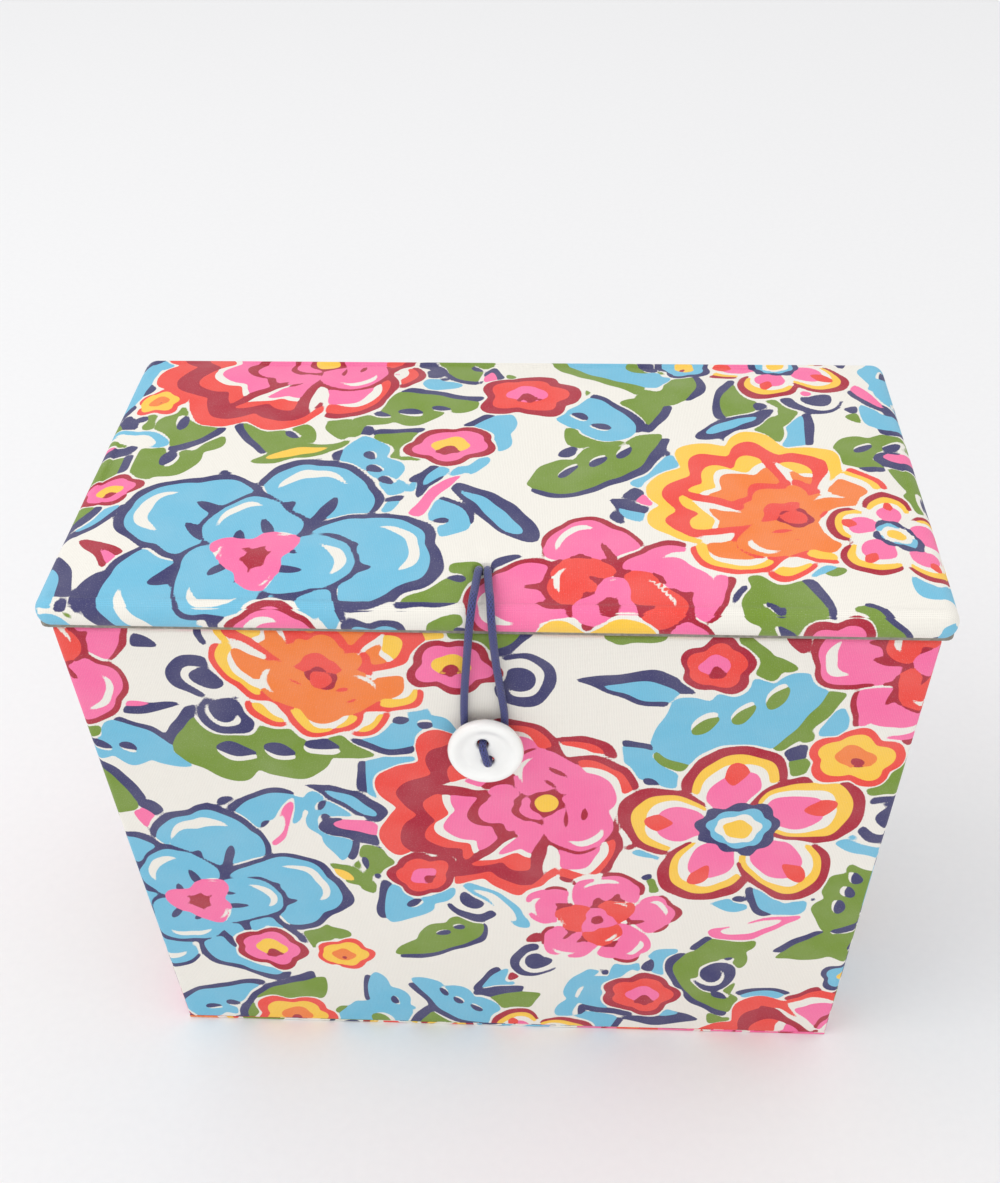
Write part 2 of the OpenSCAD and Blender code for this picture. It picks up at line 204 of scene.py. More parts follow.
def linear(rgb: tuple[float, float, float]) -> tuple[float, float, float, float]:
    """A display colour as the scene-linear colour that the shaders take."""
    return (*(c / 12.92 if c <= 0.04045 else ((c + 0.055) / 1.055) ** 2.4 for c in rgb), 1.0)


def plain_weave(graph: Graph, place: Value, pitch: float) -> Value:
    """Relief of a plain weave: warp and weft threads that pass over and under each other.

    With a = pi u / pitch and b = pi v / pitch, the height is |sin a| where sin a sin b is high and |sin b|
    where it is low, and the threads wander a little by noise.
    """
    wander = graph.noise(place, 260.0, 1.0) * 1.3
    across, along, _ = graph.parts(place)
    a = (across * (math.pi / pitch) + wander).sin()
    b = (along * (math.pi / pitch) + wander).sin()
    over = a * b * 0.5 + 0.5
    return abs(a) * over + abs(b) * (1.0 - over)


# --------------------------------------------------------------------------- the print


class Ink(Enum):
    """The inks of the printed cotton, in the order of the print's layers."""

    GROUND = 0
    SKY = 1
    OLIVE = 2
    PLUM = 3
    PINK = 4
    CORAL = 5
    CRIMSON = 6
    YELLOW = 7
    ORANGE = 8


INK_RGB = {
    Ink.GROUND: (0.945, 0.93, 0.895),
    Ink.SKY: (0.45, 0.75, 0.87),
    Ink.OLIVE: (0.47, 0.585, 0.20),
    Ink.PLUM: (0.225, 0.225, 0.42),
    Ink.PINK: (0.985, 0.45, 0.66),
    Ink.CORAL: (0.945, 0.29, 0.25),
    Ink.CRIMSON: (0.68, 0.09, 0.20),
    Ink.YELLOW: (0.995, 0.80, 0.28),
    Ink.ORANGE: (0.965, 0.51, 0.22),
}


@dataclass(frozen=True)
class Pen:
    """A place on the cloth to draw at: a centre and a turn, in millimetres and degrees.

    Attributes:
        x: Place across the cloth.
        y: Place up the cloth.
        turn: Turn of the drawing, anticlockwise.
    """

    x: float
    y: float
    turn: float = 0.0

    def step(self, along: float, across: float = 0.0, turn: float = 0.0) -> "Pen":
        """The pen moved along and across its own direction and then turned."""
        c, s = math.cos(math.radians(self.turn)), math.sin(math.radians(self.turn))
        return Pen(self.x + along * c - across * s, self.y + along * s + across * c, self.turn + turn)


def blob(
    x: np.ndarray, y: np.ndarray, rx: float, ry: float, lobes: int, depth: float, phase: float
) -> np.ndarray:
    """Depth inside a round shape with a scalloped edge.

    The edge is the ellipse (rx, ry) times 1 - depth * (1 - |cos(lobes * angle / 2 + phase)|).
    """
    angle = np.arctan2(y / ry, x / rx)
    edge = 1.0 - depth * (1.0 - np.abs(np.cos(lobes * angle / 2.0 + phase)))
    return (edge - np.hypot(x / rx, y / ry)) * min(rx, ry)


def blade(
    x: np.ndarray, y: np.ndarray, length: float, width: float, bend: float, belly: float, lobes: float
) -> np.ndarray:
    """Depth inside a leaf, drop or petal that starts at the pen and points along it.

    With s = x / length, the midline is lifted by bend * s ** 2 and the half width is
    width / 2 * sin(pi * s ** belly) ** 0.8, which a row of round lobes cuts in on the side it bends to.
    """
    s = np.clip(x / length, 0.0, 1.0)
    off = y - bend * s * s
    half = 0.5 * width * np.sin(np.pi * s**belly) ** 0.8
    if lobes:
        scallop = 0.66 + 0.40 * np.abs(np.sin(np.pi * lobes * s)) ** 0.7
        half = np.where(off * bend > 0.0, half * scallop, half)
    past = np.maximum(-x, x - length)
    return np.where(past > 0.0, -np.hypot(np.maximum(past, 0.0), np.abs(off)), half - np.abs(off))


def fan(x: np.ndarray, y: np.ndarray, length: float, spread: float, lobes: int, depth: float) -> np.ndarray:
    """Depth inside a fan-shaped petal that opens from the pen along its direction, with a scalloped end.

    At an angle t from the middle the end lies at length (1 - 0.22 (t / spread) ** 2) times
    1 - depth (1 - |cos(lobes pi t / (2 spread))|), and the sides are the angles -spread and spread.
    """
    angle, reach = np.arctan2(y, x), np.hypot(x, y)
    share = np.clip(angle / spread, -1.6, 1.6)
    scallop = 1.0 - np.abs(np.cos(0.5 * np.pi * lobes * share))
    end = length * (1.0 - 0.22 * share**2) * (1.0 - depth * scallop)
    return np.minimum(end - reach, (spread - np.abs(angle)) * reach + 0.4)


def curl(x: np.ndarray, y: np.ndarray, radius: float, turns: float, width: float, hand: float) -> np.ndarray:
    """Depth inside a spiral line whose radius grows from nothing to radius over some turns.

    The line's half width grows from a third of width at the eye to width / 2 at its middle.
    """
    angle = np.mod(hand * np.arctan2(y, x), TAU)
    reach = np.hypot(x, y)
    depth = np.full_like(reach, -9.0)
    for turn in range(math.ceil(turns)):
        share = (angle / TAU + turn) / turns
        line = radius * share
        half = width * 0.5 * (0.35 + 0.65 * np.sin(np.pi * np.clip(share, 0.0, 1.0)))
        depth = np.maximum(depth, np.where(share <= 1.0, half - np.abs(reach - line), -9.0))
    return np.maximum(depth, 0.09 * radius + width * 0.35 - reach)


# The print keeps depths between -DEEPEST and DEEPEST, and drops an ink where it is nowhere near deeper
# than SLIVER, in millimetres
DEEPEST, SLIVER = 2.5, 0.18


@dataclass
class PrintedCloth:
    """One repeat of the floral print, kept as how deep each point lies inside each ink.

    A shape painted with one ink raises that ink's depth and lowers every other ink's, so the ink that
    is deepest at a point is the one that shows there, with edges as crisp as the shapes themselves.

    Attributes:
        width: Width of the repeat, in millimetres.
        height: Height of the repeat, in millimetres.
        step: Spacing of the samples, in millimetres.
    """

    width: float = 300.0
    height: float = 420.0
    step: float = 0.5
    depths: np.ndarray = field(init=False)
    drift: tuple[np.ndarray, np.ndarray] = field(init=False)

    def __post_init__(self) -> None:
        """Starts with plain ground everywhere and a slow hand-drawn drift of the lines."""
        rows, columns = int(self.height / self.step), int(self.width / self.step)
        self.depths = np.full((len(Ink), rows, columns), -DEEPEST, np.float32)
        self.depths[Ink.GROUND.value] = DEEPEST
        v, u = np.meshgrid(np.arange(rows) / rows, np.arange(columns) / columns, indexing="ij")
        self.drift = (
            1.5 * np.sin(TAU * (5 * v + 2 * u))
            + 0.8 * np.sin(TAU * (11 * v - 7 * u + 0.3))
            + 0.35 * np.sin(TAU * (29 * u + 13 * v)),
            1.5 * np.sin(TAU * (4 * u - 3 * v + 0.2))
            + 0.8 * np.sin(TAU * (9 * u + 8 * v))
            + 0.35 * np.sin(TAU * (23 * v - 19 * u)),
        )

    def paint(
        self,
        ink: Ink,
        pen: Pen,
        reach: float,
        shape: Callable[[np.ndarray, np.ndarray], np.ndarray],
        halo: float = 0.0,
    ) -> None:
        """Paints one shape over what is there.

        Args:
            ink: The ink to paint with.
            pen: Where and which way to draw.
            reach: How far the shape can reach from the pen, in millimetres.
            shape: Takes the pen's own coordinates and returns the depth inside the shape.
            halo: Width of bare ground left round it.
        """
        rows, columns = self.depths.shape[1:]
        reach += halo
        i = np.arange(math.floor((pen.y - reach) / self.step), math.ceil((pen.y + reach) / self.step))
        j = np.arange(math.floor((pen.x - reach) / self.step), math.ceil((pen.x + reach) / self.step))
        window = np.ix_(i % rows, j % columns)
        x = j[None, :] * self.step - pen.x + self.drift[0][window]
        y = i[:, None] * self.step - pen.y + self.drift[1][window]
        c, s = math.cos(math.radians(pen.turn)), math.sin(math.radians(pen.turn))
        inside = shape(c * x + s * y, c * y - s * x)
        for laid, grown in ((Ink.GROUND, halo), (ink, 0.0)):
            if laid is Ink.GROUND and ink is not Ink.GROUND and not halo:
                continue
            depth = np.clip(inside + grown, -DEEPEST, DEEPEST)
            for layer in Ink:
                old = self.depths[layer.value][window]
                new = np.maximum(old, depth) if layer is laid else np.minimum(old, -depth)
                self.depths[layer.value][window] = new

    def blob(
        self, ink: Ink, pen: Pen, rx: float, ry: float = 0.0,
        lobes: int = 0, depth: float = 0.0, phase: float = 0.0, halo: float = 0.0,
    ) -> None:
        """Paints a round, scalloped shape centred on the pen."""
        ry = ry or rx
        reach = 1.1 * max(rx, ry) + 3.0
        self.paint(ink, pen, reach, lambda x, y: blob(x, y, rx, ry, lobes, depth, phase), halo)

    def blade(
        self, ink: Ink, pen: Pen, length: float, width: float,
        bend: float = 0.0, belly: float = 0.8, lobes: float = 0.0, halo: float = 0.0,
    ) -> None:
        """Paints a leaf, drop or petal that starts at the pen."""
        reach = length + abs(bend) + width + 3.0
        self.paint(ink, pen, reach, lambda x, y: blade(x, y, length, width, bend, belly, lobes), halo)

    def curl(self, ink: Ink, pen: Pen, radius: float, turns: float, width: float, hand: float = 1.0) -> None:
        """Paints a spiral round the pen."""
        self.paint(ink, pen, radius + width + 3.0, lambda x, y: curl(x, y, radius, turns, width, hand), 1.2)

    def fan(
        self, ink: Ink, pen: Pen, length: float, spread: float,
        lobes: int = 4, depth: float = 0.10, halo: float = 0.0,
    ) -> None:
        """Paints a fan-shaped petal that opens from the pen."""
        self.paint(ink, pen, length + 4.0, lambda x, y: fan(x, y, length, spread, lobes, depth), halo)

    def petal(
        self, pen: Pen, size: float, layers: tuple[Ink, Ink, Ink, Ink], lobes: int = 4, halo: float = 0.0
    ) -> None:
        """Paints one round petal: outline, ink, a light crescent, an inner tone and two comma strokes."""
        edge, ink, light, inner = layers
        self.blob(edge, pen, size, size * 0.90, lobes, 0.10, 0.5, halo)
        self.blob(ink, pen.step(-size * 0.02), size * 0.89, size * 0.80, lobes, 0.10, 0.5)
        self.blob(light, pen.step(size * 0.10, size * 0.05), size * 0.62, size * 0.55, lobes, 0.08, 0.5)
        self.blob(inner, pen.step(-size * 0.06, -size * 0.02), size * 0.64, size * 0.56, lobes, 0.08, 0.5)
        for side, long in ((-1.0, 0.95), (1.0, 0.70)):
            stroke = pen.step(-size * 0.72, side * size * 0.16, side * 14.0)
            self.blade(edge, stroke, size * long, size * 0.17, -side * size * 0.16, 1.6)

    def rosette(self, pen: Pen, radius: float, inks: tuple[Ink, Ink, Ink, Ink, Ink]) -> None:
        """Paints a round flower: five large petals, three smaller ones over them, and a heart."""
        line, outer, middle, heart, heart_line = inks
        for k in (0, 2, 4, 1, 3):
            petal = pen.step(0.0, 0.0, 72.0 * k).step(radius * 0.56)
            self.petal(petal, radius * 0.47, (line, outer, Ink.GROUND, outer), 5, 1.3)
        for k in range(3):
            petal = pen.step(0.0, 0.0, 36.0 + 120.0 * k).step(radius * 0.27)
            self.petal(petal, radius * 0.33, (line, middle, Ink.GROUND, middle), 4)
        for k in range(3):
            petal = pen.step(0.0, 0.0, 95.0 + 120.0 * k).step(radius * 0.12)
            self.petal(petal, radius * 0.17, (heart_line, heart, Ink.GROUND, heart), 3)
        self.blob(heart_line, pen, radius * 0.07)

    def shell(self, pen: Pen, radius: float, inks: tuple[Ink, Ink, Ink, Ink, Ink]) -> None:
        """Paints a full flower seen from its side: low petals, and shells that stand behind each other."""
        line, outer, middle, heart, heart_line = inks
        for angle in (150.0, -150.0, 180.0, 112.0, -112.0):
            petal = pen.step(0.0, 0.0, angle).step(radius * 0.50)
            self.petal(petal, radius * 0.42, (line, outer, Ink.GROUND, middle), 4, 1.3)
        base = pen.step(-radius * 0.22)
        shells = (
            (1.18, 1.32, 5, outer, 0.0, 1.4),
            (1.04, 1.26, 5, line, 3.0, 0.0),
            (0.87, 1.22, 5, outer, 6.0, 0.0),
            (0.77, 1.18, 4, Ink.GROUND, 2.0, 0.0),
            (0.71, 1.22, 4, middle, 1.0, 0.0),
            (0.54, 1.10, 3, line, -7.0, 0.0),
            (0.47, 1.06, 3, middle, -4.0, 0.0),
            (0.28, 0.98, 2, line, 9.0, 0.0),
            (0.23, 0.94, 2, heart, 9.0, 0.0),
        )
        for reach, spread, lobes, ink, swing, halo in shells:
            self.fan(ink, base.step(0.0, 0.0, swing), radius * reach, spread, lobes, 0.15, halo)
        for angle in (-62.0, -30.0, 30.0, 64.0):
            side = 1.0 if angle > 0.0 else -1.0
            stroke = base.step(0.0, 0.0, angle).step(radius * 0.26, 0.0, side * 10.0)
            self.blade(line, stroke, radius * 0.62, radius * 0.085, -side * radius * 0.10, 1.5)
            beside = stroke.step(radius * 0.04, side * radius * 0.06)
            self.blade(Ink.GROUND, beside, radius * 0.5, radius * 0.05, -side * radius * 0.08, 1.4)
        for side in (-1.0, 1.0):
            petal = pen.step(-radius * 0.34, side * radius * 0.26, side * 70.0)
            self.petal(petal, radius * 0.30, (line, middle, Ink.GROUND, middle), 3)
        self.blob(heart_line, base.step(radius * 0.02), radius * 0.13, lobes=5, depth=0.2)
        self.blob(heart if heart is not middle else Ink.YELLOW, base.step(radius * 0.02), radius * 0.08)

    def star(self, pen: Pen, radius: float, inks: tuple[Ink, ...]) -> None:
        """Paints a five-petalled open flower with nested colours, from the outline inwards."""
        for k in range(5):
            petal = pen.step(0.0, 0.0, 90.0 + 72.0 * k)
            for level, ink in enumerate(inks):
                share = 1.0 - 0.155 * level
                centre = petal.step(radius * (0.58 - 0.035 * level))
                halo = 1.3 if level == 0 else 0.0
                self.blob(ink, centre, radius * 0.44 * share, radius * 0.40 * share, 2, 0.06, 0.7, halo)
            drop = petal.step(radius * 0.52)
            self.blade(Ink.CORAL, drop, radius * 0.30, radius * 0.17, 0.0, 1.2)
        rings = ((Ink.PLUM, 0.34, 9), (Ink.SKY, 0.26, 7), (Ink.GROUND, 0.19, 6), (Ink.YELLOW, 0.12, 5))
        for ink, size, lobes in rings:
            self.blob(ink, pen, radius * size, lobes=lobes, depth=0.16)

    def pansy(self, pen: Pen, radius: float, inks: tuple[Ink, Ink, Ink]) -> None:
        """Paints a small flower: its edge, its petals and its heart."""
        for size, lobes, ink in ((1.0, 5, inks[0]), (0.78, 5, inks[1]), (0.42, 4, inks[2])):
            halo = 1.2 if size == 1.0 else 0.0
            self.blob(ink, pen, radius * size, radius * size * 0.84, lobes, 0.22, 0.3, halo)
        for k in range(3):
            self.blade(inks[0], pen.step(0.0, 0.0, -90.0 + 40.0 * (k - 1)), radius * 0.5, radius * 0.1)
        self.blob(Ink.CRIMSON, pen.step(0.0, -radius * 0.1), radius * 0.12)

    def leaf(
        self, pen: Pen, length: float, width: float, bend: float, inks: tuple[Ink, Ink], drops: int = 3
    ) -> None:
        """Paints a leaf with round lobes along one side, a shadow along the other, and a row of lit drops."""
        body, shade = inks
        side = 1.0 if bend > 0.0 else -1.0
        self.blade(body, pen, length, width, bend, 0.75, 3.0, 1.4)
        shaded = pen.step(0.0, -side * width * 0.20)
        self.blade(shade, shaded, length * 1.02, width * 0.84, bend, 0.75, halo=1.4)
        self.blade(body, pen, length, width, bend, 0.75, 3.0)
        for k in range(drops):
            s = 0.20 + 0.2 * k
            along = math.degrees(math.atan2(2.0 * bend * s, length))
            drop = pen.step(length * s, bend * s * s, along + side * 24.0)
            lit = drop.step(0.0, side * width * 0.03)
            self.blade(Ink.GROUND, lit, length * 0.19, width * 0.20, side * width * 0.04, 0.7)
            self.blade(shade, drop, length * 0.18, width * 0.16, 0.0, 0.7)

    def flick(self, pen: Pen, length: float, width: float, bend: float, inks: tuple[Ink, Ink]) -> None:
        """Paints a pair of nested curved strokes."""
        self.blade(inks[0], pen, length, width, bend, 0.7, halo=1.2)
        self.blade(inks[1], pen.step(length * 0.12, width * 0.12), length * 0.7, width * 0.5, bend * 0.6, 0.7)

    def undergrowth(self) -> None:
        """Fills the ground with small leaves, strokes and spirals on a jittered lattice."""
        chance = np.random.RandomState(11)
        across, up = round(self.width / 37.0), round(self.height / 35.0)
        for row in range(up):
            for column in range(across):
                dx, dy, turn, kind, size = chance.uniform(-1.0, 1.0, 5)
                x = (column + 0.5 * (row % 2) + 0.28 * dx) * self.width / across
                y = (row + 0.28 * dy) * self.height / up
                pen = Pen(x, y, 180.0 * turn)
                length = 50.0 + 10.0 * size
                base = pen.step(-0.5 * length)
                if kind < -0.35:
                    self.leaf(base, length, 0.46 * length, 7.0 * size, (Ink.OLIVE, Ink.PLUM), 2)
                elif kind < 0.2:
                    self.leaf(base, length, 0.44 * length, -8.0, (Ink.SKY, Ink.PLUM), 2)
                elif kind < 0.65:
                    inks = STROKE_INKS[(row + column) % len(STROKE_INKS)]
                    self.flick(pen.step(-0.4 * length), 0.8 * length, 15.0, 14.0 * size, inks)
                else:
                    self.curl(Ink.PLUM, pen, 12.0, 1.8, 5.0, 1.0 if size > 0 else -1.0)

    def draw(self) -> None:
        """Draws the whole repeat: leaves and flicks first, then the flowers over them."""
        g, s, o, p = Ink.GROUND, Ink.SKY, Ink.OLIVE, Ink.PLUM
        k, c, r, y, w = Ink.PINK, Ink.CORAL, Ink.CRIMSON, Ink.YELLOW, Ink.ORANGE
        self.undergrowth()
        for x, v, turn, length, width, bend, inks in LEAVES:
            pair = {"o": (o, p), "s": (s, p), "t": (s, o), "u": (o, s)}[inks]
            self.leaf(Pen(x, v, turn), length, width, bend, pair)
        for x, v, turn, length, width, bend, inks in FLICKS:
            pair = {"p": (p, k), "s": (s, g), "o": (o, y), "k": (k, g), "c": (p, s)}[inks]
            self.flick(Pen(x, v, turn), length, width, bend, pair)
        for x, v, radius, turns, hand in CURLS:
            self.curl(p, Pen(x, v, 40.0), radius, turns, 4.6, hand)
        for x, v, turn, radius, kind in BLOOMS:
            inks = {
                "peony": (r, c, k, k, r),
                "blue": (p, s, s, k, r),
                "amber": (c, y, w, c, r),
                "rose": (r, k, c, k, r),
            }[kind]
            flower = self.shell if kind in ("peony", "amber") else self.rosette
            flower(Pen(x, v, turn), radius, inks)
        for x, v, turn, radius in STARS:
            self.star(Pen(x, v, turn), radius, (r, y, g, k))
        for x, v, turn, radius, kind in PANSIES:
            inks = {"pink": (r, k, y), "coral": (r, c, k), "amber": (c, y, w), "sky": (p, s, y)}[kind]
            self.pansy(Pen(x, v, turn), radius, inks)
        self.soften()

    def soften(self) -> None:
        """Lets the inks spread by three 1-4-6-4-1 averages each way, and drops the slivers left over.

        A sliver is an ink whose greatest depth within four samples each way is below SLIVER.
        """
        for axis in (1, 2, 1, 2, 1, 2):
            near = np.roll(self.depths, 1, axis) + np.roll(self.depths, -1, axis)
            far = np.roll(self.depths, 2, axis) + np.roll(self.depths, -2, axis)
            self.depths = (6.0 * self.depths + 4.0 * near + far) / 16.0
        peak = self.depths
        for axis in (1, 2):
            peak = np.max([np.roll(peak, shift, axis) for shift in range(-4, 5)], 0)
        thin = np.clip((SLIVER - peak) / 0.1, 0.0, 1.0)
        thin[Ink.GROUND.value] = 0.0
        self.depths -= 2.0 * thin

    def sample(self, u: np.ndarray, v: np.ndarray) -> np.ndarray:
        """The depths at places u, v (millimetres) on the cloth, by bilinear blending: shape (inks, ...)."""
        rows, columns = self.depths.shape[1:]
        a, b = v / self.step, u / self.step
        i, j = np.floor(a).astype(int), np.floor(b).astype(int)
        fi, fj = a - i, b - j
        i0, i1, j0, j1 = i % rows, (i + 1) % rows, j % columns, (j + 1) % columns
        d = self.depths
        below = d[:, i0, j0] * (1 - fj) + d[:, i0, j1] * fj
        above = d[:, i1, j0] * (1 - fj) + d[:, i1, j1] * fj
        return below * (1 - fi) + above * fi


# Inks of the paired strokes in the undergrowth, taken in turn
STROKE_INKS = ((Ink.PLUM, Ink.PINK), (Ink.SKY, Ink.GROUND), (Ink.CRIMSON, Ink.PINK), (Ink.PLUM, Ink.SKY))

# x, y, turn, length, width, bend and inks of each leaf
LEAVES = (
    (-125, 60, 75, 74, 30, 12, "o"), (-100, 205, -35, 62, 26, -14, "o"), (60, 205, -70, 56, 40, 10, "t"),
    (88, 168, 60, 66, 34, -16, "o"), (75, 120, 130, 48, 24, 12, "s"), (40, 88, 25, 58, 24, 10, "o"),
    (-20, 118, -80, 44, 22, 8, "s"), (-30, 132, 20, 52, 22, -8, "o"), (5, 190, -60, 46, 22, 10, "o"),
    (-60, 10, 10, 54, 20, -8, "o"), (12, 18, -25, 46, 20, 8, "o"), (134, 35, 100, 50, 26, 8, "t"),
    (-140, 130, 40, 52, 26, 8, "s"), (120, 200, 160, 40, 22, -8, "s"), (20, 60, 150, 40, 20, 8, "s"),
    (-10, 322, 150, 84, 36, 14, "o"), (12, 352, 20, 72, 38, -18, "o"), (70, 372, -20, 40, 24, 8, "s"),
    (-128, 362, 20, 70, 34, 12, "t"), (-60, 262, 60, 50, 26, 8, "o"), (-72, 270, 115, 44, 22, -8, "s"),
    (52, 330, -150, 44, 22, 8, "s"), (108, 300, 75, 54, 28, 10, "o"), (78, 262, 60, 50, 24, -10, "s"),
    (118, 372, -70, 44, 24, 8, "o"), (-20, 248, -10, 40, 20, 8, "o"), (-145, 250, 70, 46, 24, -8, "o"),
    (40, 405, -20, 60, 24, 8, "u"), (-60, 402, 15, 56, 24, 8, "o"), (-130, 20, -40, 44, 22, 8, "s"),
    (-148, 208, 35, 54, 28, 10, "s"), (-104, 246, -80, 44, 24, 8, "o"),
)

# x, y, turn, length, width, bend and inks of each pair of strokes
FLICKS = (
    (-138, 104, 20, 34, 12, -9, "p"), (-92, 112, 150, 30, 9, 8, "s"), (20, 150, 60, 26, 9, 8, "p"),
    (62, 150, 200, 34, 10, 10, "o"), (-5, 60, 70, 40, 10, -12, "k"), (100, 118, 20, 34, 10, 10, "c"),
    (15, 104, -130, 30, 9, 8, "c"), (-60, 100, 10, 40, 8, 10, "o"), (92, 62, 160, 30, 9, -8, "c"),
    (140, 150, 100, 34, 10, 8, "k"), (-145, 165, -70, 34, 10, 9, "p"), (40, 6, 10, 36, 9, -8, "s"),
    (58, 312, 10, 40, 13, -12, "p"), (-30, 300, 165, 38, 10, -10, "s"), (82, 318, 130, 36, 9, 10, "c"),
    (-100, 258, 10, 34, 10, 8, "k"), (30, 300, 45, 34, 9, 8, "k"), (70, 285, 150, 30, 9, 8, "o"),
    (-148, 330, 60, 34, 9, 8, "s"), (-25, 372, 15, 40, 9, -8, "p"), (130, 258, 120, 36, 10, 8, "s"),
)

# x, y, radius, turns and hand of each spiral
CURLS = (
    (-92, 26, 13, 1.9, 1.0), (118, 112, 10, 1.7, -1.0), (-2, 168, 9, 1.6, 1.0), (-42, 326, 14, 1.9, -1.0),
    (132, 240, 11, 1.8, 1.0), (30, 372, 10, 1.7, -1.0), (-96, 232, 10, 1.6, -1.0), (36, 40, 10, 1.7, 1.0),
)

# x, y, turn, radius and kind of each large flower
BLOOMS = (
    (-46, 46, 70, 58, "blue"), (-54, 172, 200, 56, "peony"), (66, 24, 100, 44, "rose"),
    (122, 78, 130, 46, "amber"), (8, 272, 80, 54, "blue"), (126, 326, 200, 52, "peony"),
    (-36, 402, 100, 42, "rose"), (66, 400, 80, 42, "amber"), (-142, 264, 10, 30, "rose"),
)

# x, y, turn and radius of each open flower
STARS = ((-94, 318, 8, 44), (132, 175, 20, 30), (-140, 60, 0, 24))

# x, y, turn, radius and kind of each small flower
PANSIES = (
    (34, 196, 0, 17, "amber"), (38, 148, 10, 21, "coral"), (12, 112, -15, 16, "pink"),
    (-100, 140, 20, 11, "amber"), (96, 176, -30, 12, "sky"), (-60, 356, 20, 17, "amber"),
    (92, 290, 40, 15, "coral"), (30, 240, 0, 15, "pink"), (-44, 232, 30, 13, "sky"),
    (108, 395, 0, 15, "pink"), (-108, 398, 20, 14, "coral"), (60, 240, 0, 12, "amber"),
    (-4, 8, 10, 14, "sky"), (140, 8, 0, 16, "pink"), (-104, 84, 15, 11, "pink"),
    (-126, 216, 10, 16, "coral"),
)

INK_ATTRIBUTES = ("inks_a", "inks_b", "inks_c")

PRINT = PrintedCloth()
PRINT.draw()


# --------------------------------------------------------------------------- finishes


@dataclass(frozen=True)
class PrintedCotton:
    """Plain-weave cotton printed in flat inks, whose depths the mesh carries as three attributes.

    Attributes:
        pitch: Spacing of the threads, in metres.
        bleed: Softness of the inks' edges, in millimetres.
        roughness: Roughness of the dry cloth.
    """

    pitch: float = 0.00055
    bleed: float = 0.30
    roughness: float = 0.82

    def build(self) -> bpy.types.Material:
        """The material: the deepest ink shows, with painted shade in the hollows between the threads."""
        g = Graph("printed_cotton")
        place = g.place("UV")
        weave = plain_weave(g, place, self.pitch)
        rough_edge = (g.noise(place, 1500.0, 1.0) - 0.5) * 0.35
        depths = []
        for name in INK_ATTRIBUTES:
            depths += g.parts(g.value("ShaderNodeAttribute", {"attribute_name": name}, {}, "Vector"))
        best = depths[Ink.GROUND.value] + rough_edge
        colour: object = linear(INK_RGB[Ink.GROUND])
        for ink in list(Ink)[1:]:
            depth = depths[ink.value]
            shows = ((depth - best) * (1.0 / self.bleed) + 0.5).clamped()
            colour = g.mix(shows, colour, linear(INK_RGB[ink]))
            best = best.maximum(depth)
        patchy = g.noise(place, 55.0, 3.0)
        colour = g.mix(((patchy - 0.35) * 0.16).clamped(), colour, linear((0.97, 0.95, 0.93)))
        # Painted shade: where the weave is low, between the threads, the colour is darkened towards a dark
        # brown.
        colour = g.mix(((0.62 - weave) * 0.42).clamped(), colour, linear((0.20, 0.15, 0.17)))
        lint = g.noise(place, 2400.0, 2.0)
        colour = g.mix(((lint - 0.58) * 0.8).clamped(), colour, linear((1.0, 0.99, 0.98)))
        height = weave + g.noise(place, 900.0, 2.0) * 0.5
        rough = self.roughness + patchy * 0.08
        return g.surface(colour, rough, height, 0.00009, Specular_IOR_Level=0.32, Sheen_Weight=0.12)


@dataclass(frozen=True)
class OneColour:
    """A finish of a single colour in several tones.

    Attributes:
        name: Name of the material.
        rgb: Display colour.
    """

    name: str
    rgb: tuple[float, float, float]

    def tone(self, gain: float, lift: float = 0.0) -> tuple[float, float, float, float]:
        """The colour made darker or lighter: gain times it plus lift, at most 1, scene-linear."""
        return linear(tuple(min(1.0, gain * c + lift) for c in self.rgb))


@dataclass(frozen=True)
class PlainCotton(OneColour):
    """Plain-weave cotton of one dyed colour.

    Attributes:
        pitch: Spacing of the threads, in metres.
    """

    pitch: float = 0.0006

    def build(self) -> bpy.types.Material:
        """The material: dye that varies from thread to thread, painted shade in the weave's hollows, and the
        weave's relief.
        """
        g = Graph(self.name)
        place = g.place("UV")
        weave = plain_weave(g, place, self.pitch)
        drawn_out = g.value("ShaderNodeMapping", {}, {"Vector": place, "Scale": (1.0, 26.0, 1.0)})
        threads = g.noise(drawn_out, 60.0)
        colour = g.mix((threads * 1.5 - 0.25).clamped(), self.tone(0.82), self.tone(1.06, 0.02))
        # Painted shade: where the weave is low, between the threads, the colour is darkened to 0.6 of itself.
        colour = g.mix(((0.6 - weave) * 0.5).clamped(), colour, self.tone(0.6))
        worn = g.noise(place, 30.0, 3.0)
        rough = 0.80 + worn * 0.12
        return g.surface(colour, rough, weave, 0.00012, Specular_IOR_Level=0.3, Sheen_Weight=0.15)


class Felt(OneColour):
    """Pressed wool felt: short tangled fibres."""

    def build(self) -> bpy.types.Material:
        """The material: fibre noise in colour and relief."""
        g = Graph(self.name)
        place = g.place("Object")
        fibre = g.noise(place, 1700.0, 4.0)
        clump = g.noise(place, 170.0, 3.0)
        colour = g.mix((fibre * 1.6 - 0.4).clamped(), self.tone(0.80), self.tone(1.0))
        rough, height = 0.92 + clump * 0.06, fibre + clump * 0.5
        return g.surface(colour, rough, height, 0.0003, Specular_IOR_Level=0.2, Sheen_Weight=0.3)


@dataclass(frozen=True)
class Board(OneColour):
    """Uncoated greyboard, or white wadding, by its colour and grain.

    Attributes:
        grain: Features a metre.
    """

    grain: float = 700.0

    def build(self) -> bpy.types.Material:
        """The material: fine specks in a matt sheet."""
        g = Graph(self.name)
        place = g.place("Object")
        speck = g.noise(place, self.grain, 4.0)
        colour = g.mix((speck * 2.0 - 0.6).clamped(), self.tone(0.78), self.tone(1.0))
        return g.surface(colour, 0.86 + speck * 0.1, speck, 0.0001, Specular_IOR_Level=0.25)


